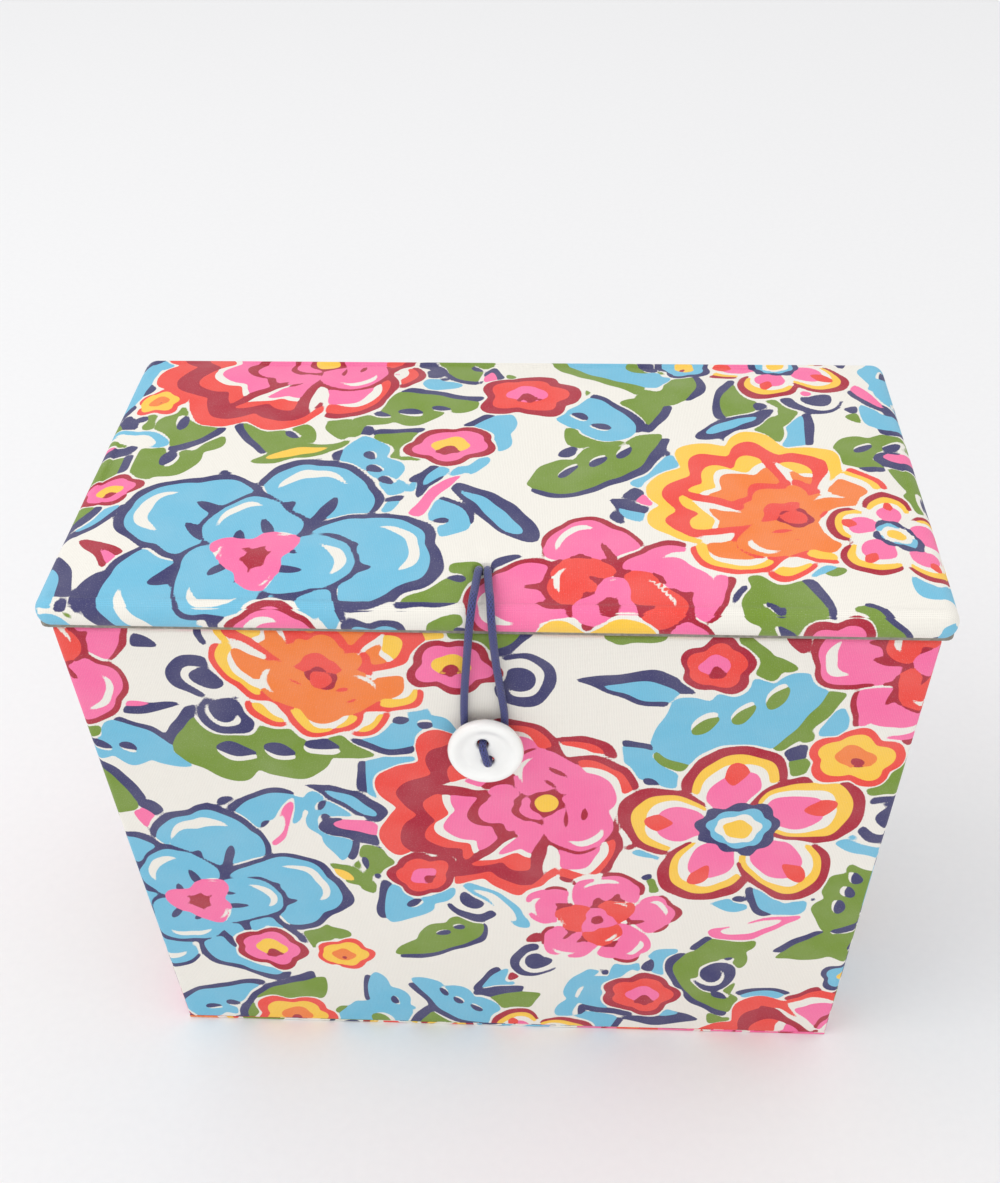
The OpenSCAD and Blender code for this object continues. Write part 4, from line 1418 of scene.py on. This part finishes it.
@dataclass
class PaddedLid:
    """The padded flap lid: printed cloth over wadding and board, and a plain pad inside.

    Attributes:
        roll: Radius of its rolled edges, in millimetres.
        pitch: Spacing of the grid.
        hole: Where the elastic comes through, x and y.
        ease: How much lower the padding starts than the CAD lid, which the air in the wadding makes good.
    """

    roll: float = 5.2
    pitch: float = 1.25
    hole: tuple[float, float] = (-3.0, -60.3)
    ease: float = 1.2

    def slab(self) -> Slab:
        """The lid's shape before the wadding rises."""
        low, high = (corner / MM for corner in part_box("lid_cover"))
        outline = (low.x, high.x, low.y, high.y)
        return Slab(outline, outline, (low.z, high.z - self.ease), self.roll, self.pitch)

    def lines(self, pitch: float) -> dict[int, np.ndarray]:
        """Grid places: even ones, close round the edges, and close at the elastic's hole."""
        slab = self.slab()
        half = slab.half()
        middle = slab.middle()
        made = {}
        for axis in (0, 1):
            even = edge_line(half[axis], slab.radius, pitch)
            spot = self.hole[axis] - middle[axis]
            far = even[np.abs(even - spot) > 5.6]
            made[axis] = np.sort(np.concatenate([far, spot + np.linspace(-5.2, 5.2, 27)]))
        made[2] = edge_line(half[2], slab.radius, 1.0)
        return made

    def blown_up(self, pitch: float) -> tuple[np.ndarray, np.ndarray, np.ndarray]:
        """Rise of the wadding over the lid's top, from a cloth simulation of the glued cover.

        Returns:
            The grid's places along x and y, and the rise at each, in millimetres.
        """
        slab = self.slab()
        half = slab.half()
        x, y = (edge_line(half[axis], slab.radius, pitch) for axis in (0, 1))
        lines = {0: x, 1: y, 2: edge_line(half[2], slab.radius, 2.0)}
        trial = make_piece("lid_trial", slab.patches(lines))
        points = points_of(trial.data).astype(float) / MM
        still = points[:, 2] < slab.z[1] - 6.0
        final = inflate(trial, still, 3.0, 0.006, -0.02) / MM
        bpy.data.objects.remove(trial)
        rise = final[:, 2] - points[:, 2]
        top = points[:, 2] > slab.z[1] - 0.01
        grid = np.zeros((len(y), len(x)))
        middle = slab.middle()
        column = np.abs(points[top, 0, None] - (x + middle[0])[None, :]).argmin(axis=1)
        row = np.abs(points[top, 1, None] - (y + middle[1])[None, :]).argmin(axis=1)
        grid[row, column] = rise[top]
        return x, y, grid

    def rise(self, x: np.ndarray, y: np.ndarray) -> np.ndarray:
        """Rise of the cover over the lid's top at x and y, from the middle of the lid, in millimetres.

        The crown is the simulated rise, scaled so that its highest point is 2.1. Long soft waves of the
        wadding are added to it, fading out near the edges.
        """
        half = self.slab().half()
        gx, gy, grid = self.blown_up(5.0)
        fine = np.stack([np.interp(x[0], gx, line) for line in grid])
        crown = np.stack([np.interp(y[:, 0], gy, line) for line in fine.T], -1)
        crown = 2.1 * crown / max(crown.max(), 1e-6)
        inside = np.clip((half[0] - np.abs(x)) / 22.0, 0.0, 1.0)
        inside = inside * np.clip((half[1] - np.abs(y)) / 22.0, 0.0, 1.0)
        return crown + inside * (0.34 * smooth_noise(x, y, 120.0, 2.0) + 0.10 * smooth_noise(x, y, 34.0, 5.0))

    def pull(self, x: np.ndarray, y: np.ndarray) -> np.ndarray:
        """Depth that the elastic pulls the top down: a funnel at the hole, a trough and fan creases."""
        across, back = x - self.hole[0], y - self.hole[1]
        funnel = 5.2 * np.exp(-((across / 2.75) ** 4) - (back / 1.75) ** 4)
        reach = np.hypot(across * 0.8, back)
        bowl = 0.85 * np.exp(-(reach**2) / 45.0)
        fan = 0.16 * np.cos(6.0 * np.arctan2(back, across) + 1.2) * np.exp(-((reach - 9.0) ** 2) / 50.0)
        forward = 1.0 / (1.0 + np.exp(np.clip(back * 1.2 + 1.5, -40.0, 40.0)))
        lean = 0.06 * np.clip(-back, 0.0, 30.0)
        trough = sum(0.5 * np.exp(-((across - side * (1.4 + lean)) ** 2) / 2.6) for side in (-1.0, 1.0))
        return funnel + bowl + fan + trough * forward

    def cover_patches(self) -> list[Patch]:
        """The cover: the padded slab, raised by the wadding, pulled in at the elastic and cut as one cloth.

        Each point moves by its rise and pull times the share of its height above the board. The cloth
        unrolls over the front and back edges, and over the two ends.
        """
        slab = self.slab()
        half = slab.half()
        lines = self.lines(self.pitch)
        middle = slab.middle()
        gx, gy = np.meshgrid(lines[0], lines[1])
        lift = self.rise(gx, gy)
        made = []
        for number, patch in enumerate(slab.patches(lines)):
            out, sign = number // 2, (-1.0, 1.0)[number % 2]
            p = patch.points / MM
            x, y = p[..., 0] - middle[0], p[..., 1] - middle[1]
            column = np.interp(x, lines[0], np.arange(len(lines[0])))
            row = np.interp(y, lines[1], np.arange(len(lines[1])))
            i = np.minimum(row.astype(int), len(lines[1]) - 2)
            j = np.minimum(column.astype(int), len(lines[0]) - 2)
            fi, fj = row - i, column - j
            raised = (lift[i, j] * (1 - fj) + lift[i, j + 1] * fj) * (1 - fi)
            raised += (lift[i + 1, j] * (1 - fj) + lift[i + 1, j + 1] * fj) * fi
            share = np.clip((p[..., 2] - slab.z[0] - 2.5) / (slab.z[1] - slab.z[0] - 2.5), 0.0, 1.0)
            moved = p.copy()
            moved[..., 2] += share**2 * (raised - self.pull(p[..., 0], p[..., 1]))
            bulge = 0.3 * np.sin(np.pi * np.clip((p[..., 2] - slab.z[0]) / (2.0 * half[2]), 0.0, 1.0))
            sag = bulge * (1.0 + 0.5 * smooth_noise(x, y, 60.0, 3.0))
            at_x = np.clip((np.abs(x) - half[0] + slab.radius) / slab.radius, 0.0, 1.0)
            at_y = np.clip((np.abs(y) - half[1] + slab.radius) / slab.radius, 0.0, 1.0)
            moved[..., 0] += np.sign(x) * sag * at_x * (1.0 - at_y)
            moved[..., 1] += np.sign(y) * sag * at_y * (1.0 - at_x)
            down = 2.0 * half[2] - (p[..., 2] - slab.z[0]) - CORNER_SAVING * slab.radius
            if out == 2:
                cloth = np.stack([x, y], -1)
                if sign < 0:
                    cloth = np.stack([x, -y - 2.0 * half[1] - 2.0 * half[2] - 20.0], -1)
            elif out == 1:
                cloth = np.stack([x, y + sign * down], -1)
            else:
                cloth = np.stack([x + sign * down, y], -1)
            made.append(Patch(moved * MM, cloth * MM))
        return made

    def inner_pad(self) -> bpy.types.Object:
        """The plain pad inside the lid: a thin cushion, held at its rim by the card it is glued to."""
        points = solids_of("lid_inner_pad")[0]
        slab = slab_from(points, 1.3, 5.0, 0.4)
        slab.z = (slab.z[0] + 0.5, slab.z[1] + 0.4)
        piece = make_piece("inner_pad", slab.patches())
        rest = points_of(piece.data) / MM
        rim = np.minimum(rest[:, 0] - slab.low[0], slab.low[1] - rest[:, 0])
        rim = np.minimum(rim, np.minimum(rest[:, 1] - slab.low[2], slab.low[3] - rest[:, 1]))
        inflate(piece, (rest[:, 2] > slab.z[1] - 0.8) | (rim < 0.3), 3.0, 0.0022, -0.01)
        finer = piece.modifiers.new("finer", "SUBSURF")
        finer.levels = finer.render_levels = 1
        return piece

    def build(self, finishes: "Finishes") -> None:
        """Builds the cover, the card and the pad inside."""
        cover = make_piece("lid_padded_cover", self.cover_patches(), print_shift=(30.0, 100.0))
        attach(dress(cover, finishes.printed, "printed_cotton", "lid_cover"), "lid")
        wadding = self.slab()
        x0, x1, y0, y1 = wadding.low
        inner = (x0 + 1.3, x1 - 1.3, y0 + 1.3, y1 - 1.3)
        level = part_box("lid_padding")[0].z / MM
        core = Slab(inner, inner, (level, wadding.z[1] - 1.5), self.roll - 1.0, 8.0)
        filling = make_piece("lid_wadding", core.patches())
        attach(dress(filling, finishes.wadding, "wadding", "lid_padding"), "lid")
        card_points = np.array(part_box("lid_inner_card")) / MM
        x0, y0, z0 = card_points[0]
        x1, y1, z1 = card_points[1]
        card = Slab((x0, x1, y0, y1), (x0, x1, y0, y1), (z0, z1 - 0.4), 0.6, 6.0)
        piece = make_piece("lid_card", card.patches())
        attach(dress(piece, finishes.plain, "plain_cotton", "lid_inner_card"), "lid")
        pad = self.inner_pad()
        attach(dress(pad, finishes.plain, "plain_cotton", "lid_inner_pad"), "lid")


@dataclass
class HingeStrip:
    """Printed cloth glued to the back wall and to the lid's back edge, which is the hinge.

    Attributes:
        thickness: How far it stands off the wall, in millimetres.
        edge: Radius of its side and end edges.
        pitch: Spacing of the grid.
        bend: Half length of the part that bends.
    """

    thickness: float = 0.9
    edge: float = 0.8
    pitch: float = 1.3
    bend: float = 1.6

    def build(self, body: BoxBody, finishes: "Finishes") -> None:
        """Builds the strip as one closed sheet between the box and the lid.

        Its middle line runs up the leaning wall to the hinge and then straight up the lid. The skin
        lies at the thickness outside that line and returns just inside it.
        """
        low, high = (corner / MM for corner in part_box("hinge_cloth"))
        hinge_z = frame_point("lid_hinge")[2] / MM
        rows = np.concatenate(
            [
                np.arange(low.z, hinge_z - 4.0, self.pitch),
                np.arange(hinge_z - 4.0, hinge_z + 4.0, 0.4),
                np.linspace(hinge_z + 4.0, high.z, 5),
            ]
        )
        columns = np.linspace(low.x, high.x, int((high.x - low.x) / self.pitch) + 1)
        edge = np.array([0.0, 0.12, 0.35, 0.65, 1.0]) * self.edge
        x = np.concatenate([low.x + edge[:-1], columns[1:-1], high.x - edge[:-1][::-1]])
        z = np.concatenate([low.z + edge[:-1], rows[1:-1], high.z - edge[:-1][::-1]])
        inward = np.minimum(
            np.minimum(x - low.x, high.x - x)[None, :], np.minimum(z - low.z, high.z - z)[:, None]
        )
        round_off = np.sqrt(np.clip(1.0 - (1.0 - np.clip(inward / self.edge, 0.0, 1.0)) ** 2, 0.0, 1.0))
        wall = body.half_at(np.minimum(z, body.cover_high.z))[1][:, None]
        ripple = 0.08 * smooth_noise(x[None, :], z[:, None], 55.0, 6.0)
        sheets = []
        for facing in (1.0, -1.0):
            outside = 0.08 + (self.thickness - 0.08 + ripple) * round_off
            stand = outside if facing > 0 else 0.08 * np.ones_like(inward)
            y = wall + stand
            order = slice(None, None, -1) if facing > 0 else slice(None)
            px = np.broadcast_to(x[None, :], y.shape)[:, order]
            points = np.stack([px, y[:, order], np.broadcast_to(z[:, None], y.shape)], -1)
            cloth = np.stack([-px, np.broadcast_to(z[:, None], y.shape)], -1)
            sheets.append(Patch(points * MM, cloth * MM))
        piece = make_piece("hinge_strip", sheets, print_shift=(40.0, 62.0))
        dress(piece, finishes.printed, "printed_cotton", "hinge_cloth")
        y = frame_point("lid_hinge")[1] - 0.0008
        start, end = ((0.0, y, (hinge_z + side * self.bend) * MM) for side in (-1.0, 1.0))
        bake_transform(piece)


def frame_point(joint: str) -> tuple[float, float, float]:
    """Where a joint of the frame is, in metres."""
    found = next(j for j in frame["joints"] if j["name"] == joint)
    return tuple(found["pos_m"])


# --------------------------------------------------------------------------- the closure


@dataclass
class Closure:
    """The elastic loop that comes out of the lid and the button that it goes round.

    Attributes:
        route: Points of the elastic from its knot, round the button and back, in millimetres.
        thickness: Diameter of the elastic.
        lean: Lean of the front wall, in degrees.
        drop: Button's place below the rim, along the wall.
        x: Button's place across the wall.
        standoff: Height of the button's underside above the wall.
        tilt: Tilt of the button on its cord.
        turn: Turn of the line through its two holes.
        radius: Radius of the button.
        depth: Thickness of the button.
        dish: Depth of its dish.
        rim: Width of its rim.
        spacing: Distance between its holes.
        hole: Radius of its holes.
        lining: Depth from the outside of the wall to the inside of its lining.
    """

    route: tuple[tuple[float, float, float], ...] = ()
    thickness: float = 2.6
    lean: float = 3.6411
    drop: float = 46.5
    x: float = -2.5
    standoff: float = 5.2
    tilt: float = 9.0
    turn: float = 15.0
    radius: float = 12.7
    depth: float = 4.4
    dish: float = 1.2
    rim: float = 3.2
    spacing: float = 7.0
    hole: float = 2.0
    lining: float = 5.5

    def at_button(self) -> np.ndarray:
        """Matrix of the place on the front wall at the button: +Z out of the wall and +Y up it."""
        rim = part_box("body_cover")[1].z / MM
        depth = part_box("body_cover")[0].y / MM
        return shift(self.x, depth, rim) @ turn_x(90.0 + self.lean) @ shift(0.0, -self.drop, 0.0)

    def button_profile(self) -> np.ndarray:
        """Outline of the turned button, in millimetres, from the middle of its back round to its dish.

        The back is nearly flat with a soft shoulder, the edge is an ellipse, the rim is a half round
        and falls by a cosine into the dish, whose floor is very slightly hollow.
        """
        r, h, d = self.radius, self.depth, self.dish
        back = np.array([[0.0, 0.30], [r * 0.35, 0.28], [r * 0.62, 0.14]])
        a = np.radians(np.linspace(-90.0, 80.0, 26))[:, None]
        edge = np.hstack([r - 2.6 + 2.6 * np.cos(a) ** 0.85, h * 0.5 + h * 0.5 * np.sin(a)])
        s = np.linspace(0.0, 1.0, 16)[1:, None]
        start = edge[-1]
        bowl = r - self.rim - 2.4
        ease = 0.5 - 0.5 * np.cos(np.pi * s)
        fall = np.hstack([start[0] + (bowl - start[0]) * s, start[1] - (start[1] - (h - d)) * ease])
        t = np.linspace(1.0, 0.0, 10)[1:, None]
        floor = np.hstack([bowl * t, h - d - 0.12 * (1.0 - t**2)])
        return np.vstack([back, edge, fall, floor])

    def build_button(self, finishes: "Finishes") -> None:
        """Turns the button, bores its two flared holes and puts it on its cord."""
        matrix = self.at_button() @ shift(0.0, 0.0, self.standoff) @ turn_x(-self.tilt)
        scale = np.diag([MM, MM, MM, 1.0])
        button = make_piece("two_hole_button", place(lathe_patch(self.button_profile(), 128), scale @ matrix))
        top, low = self.depth - self.dish - 0.1, 0.27
        flare = np.array([0.0, 0.05, 0.18, 0.36, 0.55])
        wide = self.hole + np.array([0.62, 0.36, 0.17, 0.05, 0.0])
        profile = np.vstack(
            [
                [[0.0, low - 2.0], [self.hole + 1.1, low - 2.0], [self.hole + 0.75, low - 0.1]],
                np.column_stack([wide, low + flare]),
                np.column_stack([wide[::-1], top - flare[::-1]]),
                [[self.hole + 0.75, top + 0.1], [self.hole + 1.1, top + 2.0], [0.0, top + 2.0]],
            ]
        )
        for side in (-1.0, 1.0):
            here = matrix @ turn_z(self.turn) @ shift(0.0, side * self.spacing / 2.0, 0.0)
            cutter = make_piece("hole_cutter", place(lathe_patch(profile, 48), scale @ here))
            bore = button.modifiers.new("bore", "BOOLEAN")
            bore.operation, bore.solver, bore.object = "DIFFERENCE", "EXACT", cutter
            shaped = button.evaluated_get(bpy.context.evaluated_depsgraph_get())
            bored = bpy.data.meshes.new_from_object(shaped)
            button.modifiers.clear()
            button.data = bored
            bpy.data.objects.remove(cutter)
        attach(dress(button, finishes.resin, "white_resin", "button"), "root")
        button.data.set_sharp_from_angle(angle=math.radians(50.0))

    def bar_height(self, side: float) -> float:
        """Height above the wall of the cord's bar over the upper or lower hole of the tilted button."""
        face = self.standoff + (self.depth - self.dish) / math.cos(math.radians(self.tilt))
        upright = side * math.cos(math.radians(self.turn)) * self.spacing / 2.0
        lower = upright * math.tan(math.radians(self.tilt))
        return face + self.thickness / 2.0 + 0.1 - lower

    def build_bar(self, finishes: "Finishes") -> None:
        """Builds the cord through the button and the wall, with its washer inside the box."""
        r, y = self.thickness / 2.0, self.spacing / 2.0
        bend = r + 0.3
        back = -self.lining - 0.8 - r
        turns = []
        for cy, cz, start, end in (
            (bend - y, back + bend, 270.0, 180.0),
            (bend - y, self.bar_height(-1.0) - bend, 180.0, 90.0),
            (y - bend, self.bar_height(1.0) - bend, 90.0, 0.0),
            (y - bend, back + bend, 0.0, -90.0),
        ):
            a = np.radians(np.linspace(start, end, 5))
            turns.append(np.column_stack([np.zeros(5), cy + bend * np.cos(a), cz + bend * np.sin(a)]))
        points = np.vstack([[[0.0, -0.3, back]], *turns, [[0.0, 0.3, back]]])
        matrix = self.at_button() @ turn_z(self.turn)
        points = (points @ matrix[:3, :3].T + matrix[:3, 3]) * MM
        bar = make_piece("button_thread", tube_patch(smooth_path(points, 0.0003), r * MM, 20))
        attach(dress(bar, finishes.elastic, "navy_elastic", "button_cord"), "root")
        ring = np.array([[0.0, 0.0], [7.2, 0.0], [7.8, 0.2], [8.0, 0.4], [7.8, 0.65], [7.2, 0.8], [0.0, 0.8]])
        at = np.diag([MM, MM, MM, 1.0]) @ self.at_button() @ shift(0.0, 0.0, -self.lining - 0.8)
        washer = make_piece("backing_washer", place(lathe_patch(ring, 48), at))
        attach(dress(washer, finishes.resin, "white_resin", "button_washer"), "root")

    def build_elastic(self, finishes: "Finishes") -> None:
        """Builds the elastic loop and its knot."""
        path = smooth_path(np.array(self.route) * MM, 0.0006)
        radius = self.thickness / 2.0 * MM
        loop = make_piece("elastic_cord", tube_patch(path, radius, 24))
        dress(loop, finishes.elastic, "navy_elastic", "elastic_loop")
        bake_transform(loop)
        low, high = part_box("elastic_knot")
        middle = np.array((low + high) / 2.0)
        t = np.linspace(0.0, 1.0, 90)
        spin = TAU * 2.0 * t
        reach = 0.0021 + 0.0006 * np.cos(1.5 * spin)
        rise = 0.0004 * np.sin(1.5 * spin)
        coil = np.stack([reach * np.cos(spin), reach * np.sin(spin), rise], -1) + middle
        knot = make_piece("elastic_end_knot", tube_patch(coil, 0.00105, 14))
        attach(dress(knot, finishes.elastic, "navy_elastic", "elastic_knot"), "lid")

    def build(self, finishes: "Finishes") -> None:
        """Builds the whole closure."""
        self.build_elastic(finishes)
        self.build_button(finishes)
        self.build_bar(finishes)


# --------------------------------------------------------------------------- the trays


@dataclass
class Tray:
    """A lift-out tray of covered card, with felt mats and ribbon tabs.

    Attributes:
        body: CAD body that it rides on; its nodes' names start with it.
        boards: Endings of the names of its covered boards.
        edge: Radius of the covered edges, in millimetres.
    """

    body: str
    boards: tuple[str, ...]
    edge: float = 1.0

    def build(self, finishes: "Finishes") -> None:
        """Builds the boards, the mats and the tabs."""
        for ending in self.boards:
            node = f"{self.body}_{ending}"
            piece = covered_boards(node + "_covered", node, self.edge, 5.0)
            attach(dress(piece, finishes.tray, "tray_cotton", node), self.body)
        mats = f"{self.body}_mats"
        patches = []
        for number, points in enumerate(solids_of(mats)):
            slab = slab_from(points, 0.7, 3.0, 0.1)
            patches += [self.softened(patch, slab, number) for patch in slab.patches()]
        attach(dress(make_piece(mats + "_felt", patches), finishes.felt, "felt_mat", mats), self.body)
        tabs = f"{self.body}_tabs"
        patches = []
        for points in solids_of(tabs):
            slab = slab_from(points, 0.55, 1.5)
            patches += [self.folded(patch, slab) for patch in slab.patches()]
        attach(dress(make_piece(tabs + "_ribbon", patches), finishes.ribbon, "navy_ribbon", tabs), self.body)

    def softened(self, patch: Patch, slab: Slab, seed: int) -> Patch:
        """A mat's face with its top gently uneven."""
        p = patch.points / MM
        share = np.clip((p[..., 2] - slab.z[0]) / (slab.z[1] - slab.z[0]), 0.0, 1.0)
        lift = share * (0.10 * smooth_noise(p[..., 0], p[..., 1], 30.0, 1.0 + seed) - 0.05)
        return Patch((p + lift[..., None] * np.array([0.0, 0.0, 1.0])) * MM, patch.cloth)

    def folded(self, patch: Patch, slab: Slab) -> Patch:
        """A tab's face, leaning a little into the box above where it is glued, with its fold plumped.

        The free part moves inwards by 1.6 s^2 with s the share of the height above the glued part, and
        the fold at the top is 0.25 mm fuller.
        """
        p = patch.points / MM
        free = np.clip((p[..., 2] - (slab.z[1] - 9.0)) / 9.0, 0.0, 1.0)
        middle = slab.middle()[0]
        inward = -1.0 if middle > 0.0 else 1.0
        moved = p.copy()
        moved[..., 0] += inward * 1.6 * free**2
        plump = np.exp(-(((p[..., 2] - slab.z[1] + 1.2) / 1.1) ** 2))
        moved[..., 0] += (p[..., 0] - middle) * 0.35 * plump
        return Patch(moved * MM, patch.cloth)


# --------------------------------------------------------------------------- studio


@dataclass
class Studio:
    """A pale floor, soft lights and the camera.

    Attributes:
        lens: Focal length, in millimetres on a 36 mm sensor.
        eye: Place of the camera, in metres.
        down: How far it looks down, in degrees.
        aside: How far it looks to the left.
        lean: How far it is tipped.
    """

    lens: float = 45.65
    eye: tuple[float, float, float] = (0.0251, -0.4444, 0.5194)
    down: float = 37.64
    aside: float = -3.43
    lean: float = 1.29

    def camera(self) -> None:
        """Places the camera by its angles."""
        pitch, yaw, roll = (math.radians(a) for a in (self.down, self.aside, self.lean))
        ahead = np.array([math.sin(yaw) * math.cos(pitch), math.cos(yaw) * math.cos(pitch), -math.sin(pitch)])
        level = np.array([math.cos(yaw), -math.sin(yaw), 0.0])
        below = np.cross(ahead, level)
        right = math.cos(roll) * level + math.sin(roll) * below
        under = -math.sin(roll) * level + math.cos(roll) * below
        data = bpy.data.cameras.new("camera")
        data.lens, data.sensor_width = self.lens, 36.0
        data.clip_start, data.clip_end = 0.01, 50.0
        made = bpy.data.objects.new("camera", data)
        axes = np.eye(4)
        axes[:3, 0], axes[:3, 1], axes[:3, 2], axes[:3, 3] = right, -under, -ahead, self.eye
        made.matrix_world = Matrix(axes.tolist())
        bpy.context.scene.collection.objects.link(made)
        bpy.context.scene.camera = made

    def light(
        self,
        name: str,
        place_at: tuple[float, float, float],
        size: float,
        power: float,
        aim: tuple[float, float, float],
    ) -> None:
        """Adds one square soft light that looks at a point."""
        data = bpy.data.lights.new(name, "AREA")
        data.shape, data.size, data.energy = "SQUARE", size, power
        made = bpy.data.objects.new(name, data)
        made.location = place_at
        made.rotation_mode = "QUATERNION"
        made.rotation_quaternion = (Vector(aim) - Vector(place_at)).to_track_quat("-Z", "Y")
        bpy.context.scene.collection.objects.link(made)

    def floor(self) -> None:
        """Adds a wide level floor."""
        x, y = np.meshgrid(np.linspace(-30.0, 30.0, 13), np.linspace(-30.0, 30.0, 13))
        sweep = make_piece("studio_sweep", [Patch(np.stack((x, y, 0.0 * x), -1), np.stack((x, y), -1))])
        g = Graph("pale_paper")
        speck = g.noise(g.place("Object"), 260.0, 2.0)
        colour = g.mix(speck, linear((0.925, 0.925, 0.93)), linear((0.94, 0.94, 0.943)))
        sweep.data.materials.append(g.surface(colour, 0.85, None, 0.0, Specular_IOR_Level=0.15))

    def build(self) -> None:
        """Builds the studio."""
        self.camera()
        self.floor()
        self.light("window_left", (-1.5, -0.5, 1.9), 1.8, 15.0, (0.0, 0.0, 0.1))
        self.light("overhead", (0.1, 0.3, 2.3), 2.4, 3.0, (0.0, 0.0, 0.1))
        self.light("front_fill", (0.5, -2.3, 1.0), 2.0, 6.5, (0.0, 0.0, 0.1))
        world = bpy.data.worlds.new("bright_room")
        world.use_nodes = True
        world.node_tree.nodes["Background"].inputs["Color"].default_value = (1.0, 1.0, 1.0, 1.0)
        world.node_tree.nodes["Background"].inputs["Strength"].default_value = 0.88
        scene = bpy.context.scene
        scene.world = world
        scene.view_settings.view_transform = "Standard"
        scene.view_settings.look = "None"


# --------------------------------------------------------------------------- all of it


class Finishes:
    """Every finish of the object, built once."""

    def __init__(self) -> None:
        """Builds the materials."""
        self.printed = PrintedCotton().build()
        self.plain = PlainCotton("lining_cotton", (0.53, 0.74, 0.82)).build()
        self.tray = PlainCotton("tray_cotton", (0.95, 0.50, 0.62)).build()
        self.felt = Felt("mat_felt", (0.95, 0.92, 0.85)).build()
        self.board = Board("greyboard", (0.62, 0.60, 0.56)).build()
        self.wadding = Board("wadding", (0.96, 0.95, 0.91), 300.0).build()
        self.elastic = BraidedElastic("navy_elastic", (0.135, 0.15, 0.345)).build()
        self.ribbon = Ribbon("navy_ribbon", (0.20, 0.21, 0.42)).build()
        self.resin = Resin("white_resin", (0.97, 0.97, 0.96)).build()


def dress_boards(finishes: Finishes) -> None:
    """Gives the boards that the cloth hides their own finish."""
    for node in ("bottom_board", "front_board", "back_board", "left_board", "right_board", "lid_board"):
        board = frame["nodes"][node]
        board.data.materials.clear()
        board.data.materials.append(finishes.board)


def main() -> None:
    """Builds the scene."""
    Studio().build()
    finishes = Finishes()
    body = BoxBody()
    Closure(route=ELASTIC_ROUTE).build(finishes)
    body.build(finishes)
    PaddedLid().build(finishes)
    HingeStrip().build(body, finishes)
    Tray("upper_tray", ("floor", "sides", "ends", "long_divider", "cross_dividers")).build(finishes)
    Tray("lower_tray", ("floor", "sides", "ends", "cross_dividers")).build(finishes)
    dress_boards(finishes)


if __name__ == "__main__":
    logging.basicConfig(level=logging.INFO, format="%(name)s: %(message)s")
    main()
